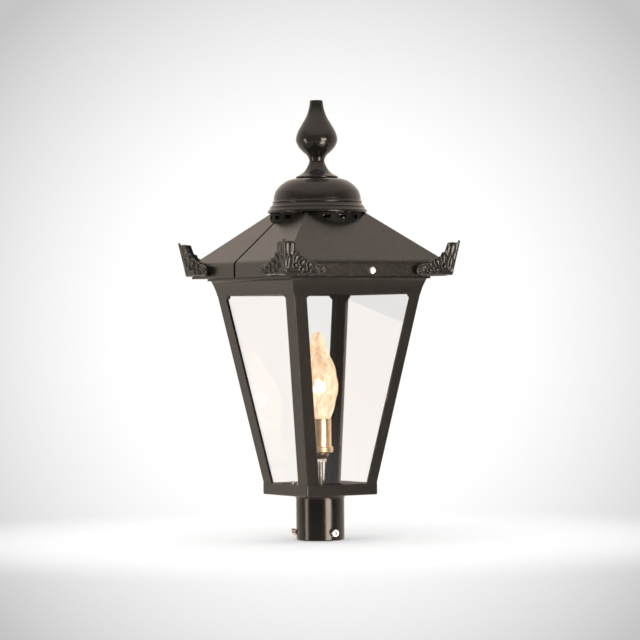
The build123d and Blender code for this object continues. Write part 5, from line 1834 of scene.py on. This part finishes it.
    def world(self) -> None:
        """Joins room, soft boxes and backdrop.

        The backdrop shows to the camera and straight through glass. Mirrored rays see the room
        with the soft boxes, and all other rays the room alone.
        """
        world = bpy.data.worlds.new("studio")
        bpy.context.scene.world = world
        world.use_nodes = True
        world.node_tree.nodes.clear()
        w = Wiring(world.node_tree)
        ray = w.add("TexCoord").outputs["Generated"]
        path = w.add("LightPath")
        through = path.outputs["Is Transmission Ray"]
        mirrored = w.math("MAXIMUM", path.outputs["Is Glossy Ray"], through)
        level = w.math("ADD", self.room(w, ray), w.math("MULTIPLY", self.shine(w, ray), mirrored))
        tint = w.blend(mirrored, (1.0, 1.0, 1.0), self.warm)
        lit = w.blend(1.0, tint, level, "MULTIPLY")
        bounced = w.math("ADD", path.outputs["Glossy Depth"], path.outputs["Diffuse Depth"])
        straight = w.math("MULTIPLY", through, w.math("LESS_THAN", bounced, 0.5))
        shown = w.math("MAXIMUM", path.outputs["Is Camera Ray"], straight)
        shader = w.add("Background")
        w.feed(shader.inputs["Color"], w.blend(shown, lit, self.backdrop(w, ray)))
        shader.inputs["Strength"].default_value = 1.0
        w.feed(w.add("OutputWorld").inputs["Surface"], shader.outputs[0])

    def card(self) -> bpy.types.Material:
        """Pale floor card that clears towards its rim.

        Returns:
            The material.
        """
        material = bpy.data.materials.new("pale_floor")
        material.use_nodes = True
        material.node_tree.nodes.clear()
        w = Wiring(material.node_tree)
        card = w.add("BsdfDiffuse")
        grain = w.noise(w.place(), self.floor_grain, detail=3.0)
        w.feed(card.inputs["Color"], w.blend(grain, self.floor_dark, self.floor_pale))
        glow = w.add("Emission")
        glow.inputs["Strength"].default_value = self.floor_glow
        lit = w.add("AddShader")
        w.feed(lit.inputs[0], card.outputs[0])
        w.feed(lit.inputs[1], glow.outputs[0])
        reach = w.add("VectorMath", operation="LENGTH")
        w.feed(reach.inputs[0], w.place())
        mix = w.add("MixShader")
        w.feed(mix.inputs[0], w.ramp(reach.outputs["Value"], *self.floor_clear))
        w.feed(mix.inputs[1], lit.outputs[0])
        w.feed(mix.inputs[2], w.add("BsdfTransparent").outputs[0])
        w.feed(w.add("OutputMaterial").inputs["Surface"], mix.outputs[0])
        return material

    def floor(self) -> None:
        """Pale floor disc that keeps the shadow and fades into the backdrop."""
        bm = bmesh.new()
        bmesh.ops.create_circle(bm, cap_ends=True, segments=96, radius=self.floor_radius)
        mesh = bpy.data.meshes.new("pale_floor")
        bm.to_mesh(mesh)
        bm.free()
        mesh.materials.append(self.card())
        floor = bpy.data.objects.new("pale_floor", mesh)
        bpy.context.scene.collection.objects.link(floor)
        floor.visible_glossy = floor.visible_shadow = floor.visible_diffuse = False

    def lamps(self) -> None:
        """One broad overhead light, a little to the left and front."""
        data = bpy.data.lights.new("overhead_soft_light", "AREA")
        data.shape, data.size, data.energy = "SQUARE", self.light_size, self.light_power
        lamp = bpy.data.objects.new("overhead_soft_light", data)
        place = Vector(self.light_place)
        turn = (Vector(self.light_aim) - place).to_track_quat("-Z", "Y").to_matrix().to_4x4()
        lamp.matrix_world = Matrix.Translation(place) @ turn
        lamp.visible_glossy = False
        bpy.context.scene.collection.objects.link(lamp)

    def build(self) -> None:
        """Sets the studio up."""
        self.camera()
        self.world()
        self.floor()
        self.lamps()
        bpy.context.scene.view_settings.view_transform = "Standard"


def main() -> None:
    """Builds the lantern's looks in order."""
    logging.basicConfig(level=logging.INFO, format="%(message)s")
    Studio().build()
    bench = Bench(Finishes())
    bolts = SetBolts()
    assemblies = (PostSocket(bolts), bolts, Body(), Roof(), Crests(), Ventilator(), Lamp())
    for assembly in assemblies:
        LOG.info("-- %s", type(assembly).__name__)
        assembly.build(bench)


if __name__ == "__main__":
    main()
